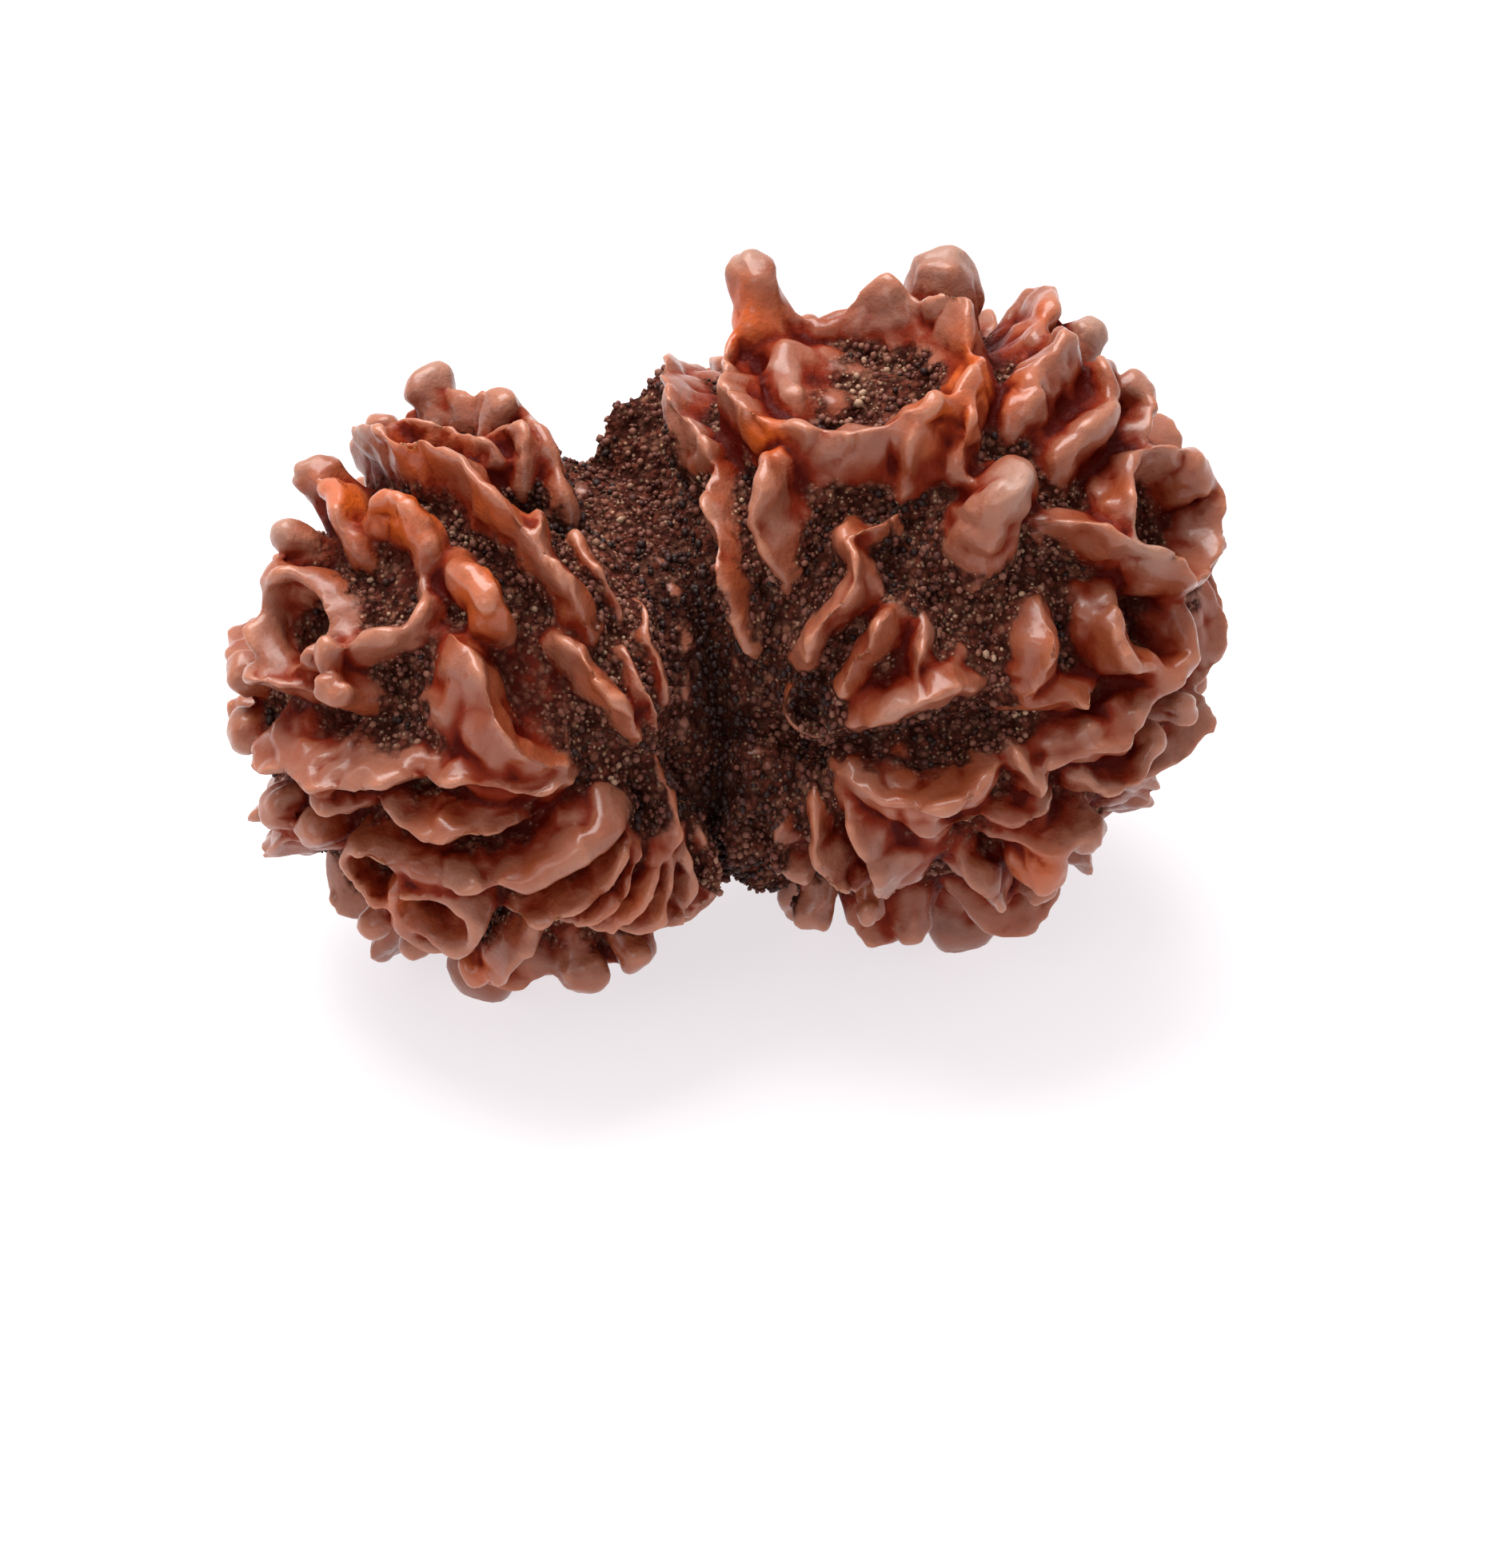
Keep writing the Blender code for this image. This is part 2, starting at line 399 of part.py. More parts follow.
def rule_tubercles(stone, other, taken, draw):
    """Tubercles for the sides that the lists don't reach: rows round the pole, each jittered by the draw.

    Returns ridges, cups and knobs in the same form as the lists. Near a pole the ridges run to it; between the
    poles they turn by up to RULE_TURN from the meridian. They get lower towards the other stone and at the
    edge of the listed side, where none are knobs, and they keep out of the notch above the seam.
    """
    ridges, cups, knobs = [], [], []
    rows = round(math.pi * stone.radius / RULE_SPACING)
    for row in range(1, rows):
        middle = 180.0 * row / rows
        count = max(4, round(2 * math.pi * stone.radius * math.sin(math.radians(middle)) / RULE_SPACING))
        for k in range(count):
            polar = middle + draw.uniform(-1, 1) * RULE_JITTER[0]
            clock = 360.0 * (k + 0.5 * (row % 2)) / count + draw.uniform(-1, 1) * RULE_JITTER[1]
            kind, turn, bend = draw.random(), RULE_TURN * draw.uniform(-1, 1), RULE_BOW * draw.uniform(-1, 1)
            height, reach, wide = draw.uniform(*RULE_HEIGHTS), draw.uniform(*RULE_REACHES), draw.random()
            here = stone.place(polar, clock, 0.0)
            facing = stone.outward(np.float64(polar), np.float64(clock)) @ SEEN_SIDE
            if facing > SEEN_LIMIT:
                continue
            if np.linalg.norm(taken - here, axis=1).min() < RULE_CLEARANCE:
                continue
            apart = np.linalg.norm(here - other.centre) - other.radius
            if apart < SEAM_CLEARANCE + SEAM_RISE * max(0.0, here[2] - SEAM_TOP):
                continue
            height *= min(1.0, LOWEST_SHARE + apart / SEAM_FADE)
            height *= RIM_LOWERING if facing > RIM_FROM else 1.0
            from_pole = min(polar, 180 - polar)
            turn *= POLE_TURN_SHARE if from_pole < POLE_ZONE else 1.0
            per_mm = math.degrees(1 / stone.radius)
            sideways = per_mm / max(0.25, math.sin(math.radians(polar)))
            if kind < KNOB_SHARE and facing < RIM_FROM:
                tip = (polar + turn / 12, clock + turn / 16, height)
                knobs.append(((polar, clock), tip, between(KNOB_RADII, wide)))
            elif KNOB_SHARE < kind < KNOB_SHARE + CUP_SHARE and from_pole > POLE_ZONE:
                turns = [math.radians(turn + 360 * corner / CUP_CORNERS) for corner in range(CUP_CORNERS)]
                size = between(CUP_SIZES, wide)
                rim = [
                    (polar - per_mm * size * math.cos(t), clock + sideways * size * math.sin(t),
                     height * (0.75 + 0.1 * math.cos(2 * t + bend)))
                    for t in turns
                ]
                cups.append((rim, *CUP_WALL))
            else:
                forward = per_mm * reach * math.cos(math.radians(turn))
                across = sideways * reach * math.sin(math.radians(turn))
                bow = per_mm * bend * reach
                crest = [
                    (polar + share * forward, clock + share * across + bow * (1 - share * share), height * rise)
                    for share, rise in RULE_RISE
                ]
                ridges.append((crest, *(between(ends, wide) for ends in RIDGE_WIDTHS)))
    return ridges, cups, knobs


def apply_modifier(obj, kind, **settings):
    """Adds one modifier with these settings and turns its result into the object's mesh."""
    modifier = obj.modifiers.new(kind.lower(), kind)
    for name, value in settings.items():
        setattr(modifier, name, value)
    graph = bpy.context.evaluated_depsgraph_get()
    mesh = bpy.data.meshes.new_from_object(obj.evaluated_get(graph))
    obj.modifiers.clear()
    obj.data = mesh


def fuse(body, collection):
    """Joins everything in the collection to the body and applies the union, then melts the roots together.

    The union is resampled on a fine grid of cubes, which rounds each root into its neighbours as it does in
    the grown stone, and is then thinned to a working number of triangles.
    """
    apply_modifier(
        body, "BOOLEAN", operation="UNION", operand_type="COLLECTION", collection=collection, solver="MANIFOLD"
    )
    for obj in list(collection.objects):
        bpy.data.objects.remove(obj)
    bpy.data.collections.remove(collection)
    apply_modifier(body, "REMESH", mode="VOXEL", voxel_size=MELT_CUBE * MM)
    apply_modifier(body, "SMOOTH", factor=0.5, iterations=MELT_PASSES)
    apply_modifier(body, "TRIANGULATE")
    largest_shell(body.data)
    apply_modifier(body, "DECIMATE", decimate_type="COLLAPSE", ratio=TRIANGLES / len(body.data.polygons))
    flatten_feet(body)


def largest_shell(mesh):
    """Keeps only the outer skin: drops the skins of hollows that the union sealed, and any loose scrap."""
    work = bmesh.new()
    work.from_mesh(mesh)
    unseen = set(work.verts)
    shells = []
    while unseen:
        edge = [unseen.pop()]
        shell = []
        while edge:
            point = edge.pop()
            shell.append(point)
            near = {line.other_vert(point) for line in point.link_edges} & unseen
            unseen -= near
            edge.extend(near)
        shells.append(shell)
    shells.sort(key=len)
    bmesh.ops.delete(work, geom=[point for shell in shells[:-1] for point in shell], context="VERTS")
    work.to_mesh(mesh)
    work.free()


def flatten_feet(body):
    """Cuts off what the melt left below the floor, so that each foot ends in a flat face at z = 0."""
    slab = bpy.data.meshes.new("below_floor")
    corners = [(x, y, z) for z in (-0.01, 0.0) for y in (-0.05, 0.05) for x in (-0.05, 0.05)]
    sides = [(0, 2, 3, 1), (4, 5, 7, 6), (0, 1, 5, 4), (2, 6, 7, 3), (0, 4, 6, 2), (1, 3, 7, 5)]
    slab.from_pydata(corners, [], sides)
    cutter = bpy.data.objects.new("below_floor", slab)
    bpy.context.scene.collection.objects.link(cutter)
    apply_modifier(body, "BOOLEAN", operation="DIFFERENCE", object=cutter, solver="MANIFOLD")
    bpy.data.objects.remove(cutter)


def seed_coat():
    """Polished reddish-brown husk."""
    coat = bpy.data.materials.new("polished_husk")
    coat.use_nodes = True
    shader = coat.node_tree.nodes["Principled BSDF"]
    shader.inputs["Base Color"].default_value = (0.23, 0.075, 0.038, 1.0)
    shader.inputs["Roughness"].default_value = 0.34
    shader.inputs["Metallic"].default_value = 0.0
    return coat


def main():
    for obj in list(bpy.data.objects):
        bpy.data.objects.remove(obj)
    left = Stone(LEFT_CENTRE, LEFT_RADIUS, LEFT_AXIS_TURN, LEFT_AXIS_TILT, LEFT_SEAMS, LEFT_DENT)
    right = Stone(RIGHT_CENTRE, RIGHT_RADIUS, RIGHT_AXIS_TURN, RIGHT_AXIS_TILT, RIGHT_SEAMS)
    draw = random.Random(RULE_SEED)
    joined = bpy.data.collections.new("joined")
    bpy.context.scene.collection.children.link(joined)
    bead = stone_body(left, bpy.context.scene.collection)
    bead.name = NODE
    stone_body(right, joined)
    sides = (
        (left, right, LEFT_RIDGES, LEFT_CUPS, LEFT_KNOBS, LEFT_FEET),
        (right, left, RIGHT_RIDGES, RIGHT_CUPS, RIGHT_KNOBS, RIGHT_FEET),
    )
    for stone, other, ridges, cups, knobs, feet in sides:
        taken = taken_places(stone, ridges, cups, knobs)
        more_ridges, more_cups, more_knobs = rule_tubercles(stone, other, taken, draw)
        for crest, half, spread_left, spread_right in list(ridges) + more_ridges:
            ridge(stone, crest, half, spread_left, spread_right, joined)
        for rim, half, outer, inner in list(cups) + more_cups:
            ridge(stone, rim, half, outer, inner, joined, closed=True)
        for root, tip, radius in list(knobs) + more_knobs:
            knob(stone, root, tip, radius, joined)
        for x, y in feet:
            foot(stone, x, y, joined)
    fuse(bead, joined)
    bead.data.materials.clear()
    bead.data.materials.append(seed_coat())
    bead.data.shade_flat()


main()
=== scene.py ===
"""The finished look of a twin rudraksha bead: two round stones that grew together side by side.

The husk is one skin. Ball-shaped grounds, ridges, cups, fingers and feet are swept as closed surfaces, sunk
into each other and melted into one skin, which is then weathered: it bends, breaks into facets and creases,
and its valleys get grit. Small grains lie in the valleys. A place on a stone is given by polar, the angle
from its front pole, clock, the angle round the pole with 0 at the top and 90 on the side of +X, and height
above the ground of the stone. Lengths are millimetres and angles degrees until a mesh is made, which is in
metres.
"""

import itertools
import math
import random

import bmesh
import bpy
import numpy as np
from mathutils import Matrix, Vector


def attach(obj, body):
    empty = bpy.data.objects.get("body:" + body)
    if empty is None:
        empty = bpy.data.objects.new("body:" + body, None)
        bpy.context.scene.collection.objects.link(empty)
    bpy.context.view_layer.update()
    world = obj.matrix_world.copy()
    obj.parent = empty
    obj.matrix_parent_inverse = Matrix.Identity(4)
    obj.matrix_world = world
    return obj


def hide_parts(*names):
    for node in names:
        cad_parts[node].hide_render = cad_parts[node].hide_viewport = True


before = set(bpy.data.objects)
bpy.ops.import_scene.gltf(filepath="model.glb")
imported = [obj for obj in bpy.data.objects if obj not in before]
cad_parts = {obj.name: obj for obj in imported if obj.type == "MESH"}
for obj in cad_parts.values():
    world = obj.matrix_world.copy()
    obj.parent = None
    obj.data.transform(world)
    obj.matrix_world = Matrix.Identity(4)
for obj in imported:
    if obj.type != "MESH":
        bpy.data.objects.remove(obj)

MM = 0.001
NODE = "twin_bead"

LEFT_CENTRE = (-7.05, 0.0, 10.2)
LEFT_RADIUS = 8.0
LEFT_AXIS = (24.0, 3.0)
RIGHT_CENTRE = (5.85, 0.0, 11.75)
RIGHT_RADIUS = 9.0
RIGHT_AXIS = (-36.0, 0.0)

PIT_DEPTH = 1.5
PIT_ANGLE = 9.0
SEAM_DEPTH = 0.7
SEAM_ANGLE = 4.5
LEFT_SEAMS = (20.0, 95.0, 165.0, 236.0, 286.0)
LEFT_DENT = (85.0, 18.0)
DENT_DEPTH = 1.1
DENT_ANGLE = 24.0
RIGHT_SEAMS = (35.0, 76.0, 113.0, 195.0, 262.0, 322.0)

SINK = 1.1
LEFT_SPREAD = 1.08
RIGHT_SPREAD = 1.3
CREST_SHARE = 0.5
CROWN_SHARE = 0.5
END_REACH = 0.6
END_HEIGHT = 0.1
END_NARROWING = 0.35
STATION_GAP = 0.22
HEIGHT_RIPPLE = 0.13
FLANK_RIPPLE = 0.5
LEAN_RIPPLE = 0.28
RIPPLE_CELL = 0.9
FLOOR_GAP = 0.35
FOOT_RADIUS = 1.1
FOOT_EXTRA = 0.5
FOOT_BULGE_LEVEL = 0.8
FOOT_WAIST_SHARE = 0.6
FOOT_WIDTHS = (0.6, 1.15, 1.0, 1.7)
FOOT_SAMPLES = 4
FOOT_LOBES = 0.12
FINGER_SIDES = 16
FINGER_SAMPLES = 3
FINGER_ROOT = 1.6
FINGER_WAIST = 1.0
ASKEW = (0.3, 0.2, 0.9)
GROUND_STEP = 2.0

SKIN_CUBE = 0.13
SKIN_PASSES = 1
GRAIN_COUNT = 9000
GRAIN_SIZES = (0.04, 0.16)
GRAIN_STRETCH = (0.7, 1.3)
GRAIN_PATCH = 1.3
GRAIN_PATCH_SHARE = 0.35
GRAIN_FROM = 0.4
SHUT_CUBE = 0.25
SHUT_PASSES = 10
FACET_LIMIT = 0.55
FACET_ROUNDS = 10
FACET_MOVES = 12
SKIN_TRIANGLES = 196000
LATTICE = 48
MARKS = ("crest", "hollow", "shut", "glow", "grit", "pale", "deep_shade")

# Weathering of the skin. A cell is the size of a noise's lumps or of pebbles, a pair is where a ramp has 0
# and where it has 1, and a noise is (amount, cell, seed).
BEND = 0.16
BEND_CELL = 1.9
BEND_FINE_CELL = BEND_CELL / 2.3
BEND_FINE_SHARE = 0.45
FREE_OF_FLOOR = (0.2, 1.5)
FREE_OF_GROUND = (0.0, 1.5)
GROUND_SHARE = 0.35
LUMP = 0.34
LUMP_CELL = 1.3
NUB = 0.21
NUB_CELL = 0.62
PEBBLE_EDGE = 0.45
CREASE = 0.09
CREASE_CELL = 1.2
CREASE_WIDTH = 0.4
CREST_PASSES = 12
HOLLOW_PASSES = 160
WRINKLE = 0.05
WRINKLE_CELL = 0.42
WRINKLE_STRETCH = (1.0, 1.0, 0.6)
GRIT_RISE = 0.16
GRIT_CELL = 0.9
GRIT_PEBBLE = 1.2
GRIT_PEBBLE_CELL = 0.42
GRIT_PEBBLE_EDGE = 0.6
NOTCH_WIDTH = (1.1, 0.4)
NOTCH_HEIGHT = (2.2, 1.6)
LOW_GROUND = (1.4, 0.3)
LOW_GROUND_NOISE = (0.35, 0.8, 28)
DUST_ANYWHERE = 0.4
DUST_NOISE = (0.35, 2.2, 21)
DUSTY_CREST = (0.05, 0.0)
CRUST_EDGE = (0.3, 0.6)
CRUST_NOISE = (0.15, 0.8, 26)

# Places where the husk is clear and orange, and places deep in dust: (polar, clock, height, radius, amount).
LEFT_GLOW = (
    (107, 330, 2.0, 1.6, 0.9), (90, 333, 2.0, 1.9, 1.0), (62, 331, 2.0, 2.0, 0.6),
    (98, 345, 2.2, 2.2, 0.5), (75, 346, 1.6, 1.8, 0.5), (33, 334, 1.6, 1.6, 0.4),
    (24, 215, 1.6, 2.2, 0.5), (66, 250, 1.8, 1.6, 0.5), (60, 217, 1.6, 1.8, 0.6),
)
RIGHT_GLOW = (
    (88, 331, 2.6, 1.4, 0.9), (84, 14, 2.4, 2.4, 0.8), (72, 15, 2.2, 1.8, 0.7),
    (112, 14, 2.2, 1.5, 0.6), (60, 343, 1.8, 1.2, 0.9), (56, 60, 2.2, 1.6, 0.35),
    (74, 76, 2.2, 2.2, 0.3), (52, 118, 2.4, 1.6, 0.6), (24, 92, 2.0, 2.0, 0.35),
)
LEFT_DUST = (
    (6, 0, 0, 2.2, 0.7), (60, 20, 0, 4.0, 0.9), (40, 40, 0, 4.0, 0.9),
    (30, 80, 0, 3.5, 0.9), (70, 300, 0, 2.6, 0.5),
)
RIGHT_DUST = (
    (0, 0, 0, 2.6, 0.8), (80, 8, 0, 2.6, 1.0), (60, 320, 0, 4.0, 0.9),
    (85, 310, 0, 4.0, 0.9), (40, 320, 0, 4.0, 0.9), (20, 270, 0, 4.0, 0.9),
    (45, 0, 0, 3.2, 0.8), (50, 30, 0, 3.4, 0.9), (42, 60, 0, 2.6, 0.8),
)
# Places where dust covers the crests too.
RIGHT_CRUST = (
    (90, 303, 2.0, 1.6, 1.0), (82, 297, 2.0, 1.6, 1.0), (77, 287, 2.0, 1.8, 1.0),
    (80, 305, 0.5, 2.4, 1.0), (70, 300, 0.5, 2.4, 1.0), (14, 20, 0.6, 1.6, 0.7),
    (14, 222, 1.2, 1.8, 1.0), (24, 206, 1.5, 2.0, 1.0), (36, 198, 1.7, 2.0, 0.9),
    (46, 194, 1.5, 1.6, 0.8),
)

# Paler tips, and painted shade that darkens the dust at the bottom of the notch between the stones and of
# the poles.
LEFT_PALE = (
    (124, 331, 3.0, 1.1, 1.0), (120, 344, 2.8, 1.4, 1.0), (123, 5, 3.2, 1.2, 0.6),
    (114, 316, 2.4, 0.9, 0.7), (110, 291, 2.4, 1.2, 0.5), (84, 276, 2.4, 1.8, 0.4),
)
RIGHT_PALE = (
    (95, 333, 5.0, 1.3, 1.0), (116, 356, 3.6, 1.8, 1.0), (122, 26, 2.9, 1.4, 0.8),
    (112, 40, 2.9, 1.2, 0.5), (98, 310, 2.6, 1.2, 0.8), (78, 343, 2.0, 2.0, 0.4),
    (68, 32, 3.0, 1.5, 0.8), (80, 56, 2.6, 1.6, 0.6), (66, 77, 2.5, 1.5, 0.4),
    (27, 52, 2.4, 1.4, 0.5),
)
LEFT_DEEP_SHADE = ((4, 90, 0.2, 1.6, 0.7),)
RIGHT_DEEP_SHADE = (
    (46, 311, 0.5, 1.4, 0.7), (36, 310, 0.5, 1.5, 1.0), (25, 302, 0.5, 1.5, 1.0),
    (17, 278, 0.5, 1.5, 1.0), (20, 229, 0.8, 1.6, 1.0), (34, 210, 1.0, 1.6, 1.0),
    (45, 200, 1.4, 1.8, 0.9), (15, 10, 0.2, 1.2, 0.6), (13, 50, 0.2, 1.1, 0.5),
)

FLOOR_WHITE = (0.33, 0.325, 0.327, 1.0)
FLOOR_GLOW = (1.0, 0.955, 0.985, 1.0)
FLOOR_GLOW_STRENGTH = 0.7
ROOM_WHITE = (1.0, 0.985, 0.985, 1.0)
ROOM_STRENGTH = 0.78
# The floor and the lights are placed and sized in metres.
FLOOR_HALF = 0.6
LIGHT_AIM = (0.0, 0.0, 0.01)
OVERHEAD_PLACE = (-0.06, 0.16, 0.42)
OVERHEAD_SIZE = 0.36
OVERHEAD_POWER = 3.7
OVERHEAD_COLOUR = (1.0, 0.985, 0.97)
FRONT_PLACE = (-0.30, -0.32, 0.30)
FRONT_SIZE = 0.25
FRONT_POWER = 0.5
FRONT_COLOUR = (1.0, 0.99, 0.985)

CAMERA_TURN = -12.0
CAMERA_LIFT = 35.0
CAMERA_DISTANCE = 260.0
CAMERA_AIM = (0.05, -2.76, 7.32)
CAMERA_LENS = 179.5
SENSOR_WIDTH = 36.0
NOISE_ROUGHNESS = 0.55

# Each ridge is its crest, as (polar, clock, height), then half its thickness at the crest and how far its
# root spreads to the left and to the right of someone who walks along it, or once if both are the same.
LEFT_RIDGES = (
    # the lumpy crown and the long ridge beside it
    (((132, 2, 1.9), (120, 6, 2.5), (108, 8, 2.2), (97, 9, 1.9), (86, 6, 1.8), (75, 5, 1.1)),
     0.45, 1.2),
    (((112, 344, 2.2), (106, 350, 2.4), (98, 353, 2.3), (88, 355, 1.8)), 0.4, 0.9),
    (((98, 356, 1.6), (91, 1, 2.3), (84, 358, 1.8)), 0.45, 0.9),
    (((130, 345, 2.1), (112, 343, 2.8), (98, 344, 2.7), (86, 346, 2.7), (73, 345, 2.6), (62, 347, 2.3),
      (53, 346, 2.0), (43, 343, 1.0)), 0.32, 1.5, 0.8),
    (((70, 354, 1.5), (64, 348, 2.3)), 0.35, 0.8),
    # three orange lobes below it
    (((113, 331, 2.0), (104, 327, 2.4), (96, 323, 1.6)), 0.8, 1.1),
    (((97, 330, 1.8), (90, 333, 2.4), (84, 332, 2.4), (79, 329, 1.5)), 0.9, 1.2),
    (((76, 333, 1.2), (68, 331, 2.3), (61, 329, 2.8), (56, 327, 1.9)), 1.1, 1.4),
    # blades that run to the pole
    (((47, 336, 1.2), (38, 335, 2.2), (28, 335, 2.3), (19, 338, 1.2)), 0.3, 1.2, 0.7),
    (((36, 352, 1.0), (26, 350, 1.6), (17, 352, 0.9)), 0.3, 0.7),
    (((64, 0, 0.9), (54, 358, 1.5), (45, 357, 0.9)), 0.3, 0.8),
    (((44, 6, 0.8), (34, 4, 1.4), (24, 6, 0.9)), 0.3, 0.8),
    # the three-sided peak, with its flat facet and overhanging foot
    (((64, 321, 1.3), (56, 318, 2.3), (50, 313, 2.8), (44, 306, 2.8), (36, 303, 2.1), (28, 307, 1.2)),
     0.3, 0.9, 2.9),
    (((57, 289, 1.0), (50, 288, 1.9), (40, 291, 2.1), (32, 296, 1.9), (26, 300, 1.0)), 0.32, 2.2, 0.6),
    # the long low blade on the left side, and what stands round it
    (((104, 273, 1.3), (93, 275, 2.1), (82, 277, 2.3), (71, 280, 2.3), (61, 285, 2.1), (55, 288, 1.2)),
     0.3, 2.0, 0.6),
    (((83, 305, 2.0), (75, 309, 2.2), (70, 317, 1.8), (76, 325, 1.2)), 0.45, 1.1),
    (((105, 291, 1.9), (96, 291, 2.3), (87, 293, 1.4)), 0.5, 0.9),
    (((84, 272, 1.5), (76, 273, 2.2), (69, 275, 1.3)), 0.5, 0.9),
    (((65, 277, 1.2), (58, 274, 2.0), (51, 273, 2.1), (45, 276, 2.2), (36, 277, 1.1)), 0.32, 1.4, 0.7),
    (((63, 260, 1.4), (53, 258, 2.1), (44, 257, 2.1), (36, 260, 1.2)), 0.5, 1.2),
    # the broad slab and the fan of fins under the pole
    (((13, 284, 1.2), (19, 277, 2.0), (25, 268, 2.4), (31, 261, 2.5), (38, 255, 2.1)), 1.1, 1.5),
    (((12, 262, 1.1), (19, 247, 2.0), (28, 241, 2.3), (36, 239, 2.2), (43, 239, 1.3)), 0.3, 0.8, 0.7),
    (((11, 242, 1.1), (20, 231, 2.1), (28, 229, 2.3), (36, 230, 1.4)), 0.32, 0.8, 1.0),
    (((9, 216, 1.0), (17, 213, 1.9), (25, 214, 2.1), (33, 218, 1.2)), 0.3, 0.7),
    (((9, 193, 1.0), (17, 195, 1.9), (26, 198, 2.1), (35, 203, 1.2)), 0.3, 0.7),
    (((9, 168, 1.0), (18, 175, 1.8), (28, 182, 2.0), (37, 190, 1.2)), 0.3, 0.7),
    (((10, 146, 0.9), (19, 156, 1.7), (29, 165, 1.9), (39, 172, 1.2)), 0.3, 0.7),
    (((8, 350, 0.2), (2, 300, 1.0), (5, 205, 1.6), (12, 204, 1.2)), 0.3, 0.8),
    (((43, 226, 1.5), (52, 222, 2.2), (62, 217, 1.6)), 0.5, 1.0),
    (((66, 216, 1.4), (62, 208, 2.2), (56, 203, 1.5)), 0.5, 1.0),
    (((44, 176, 1.2), (49, 180, 2.1), (55, 188, 1.4)), 0.5, 1.0),
    (((68, 246, 1.4), (64, 236, 2.0), (61, 228, 1.4)), 0.45, 0.9),
)

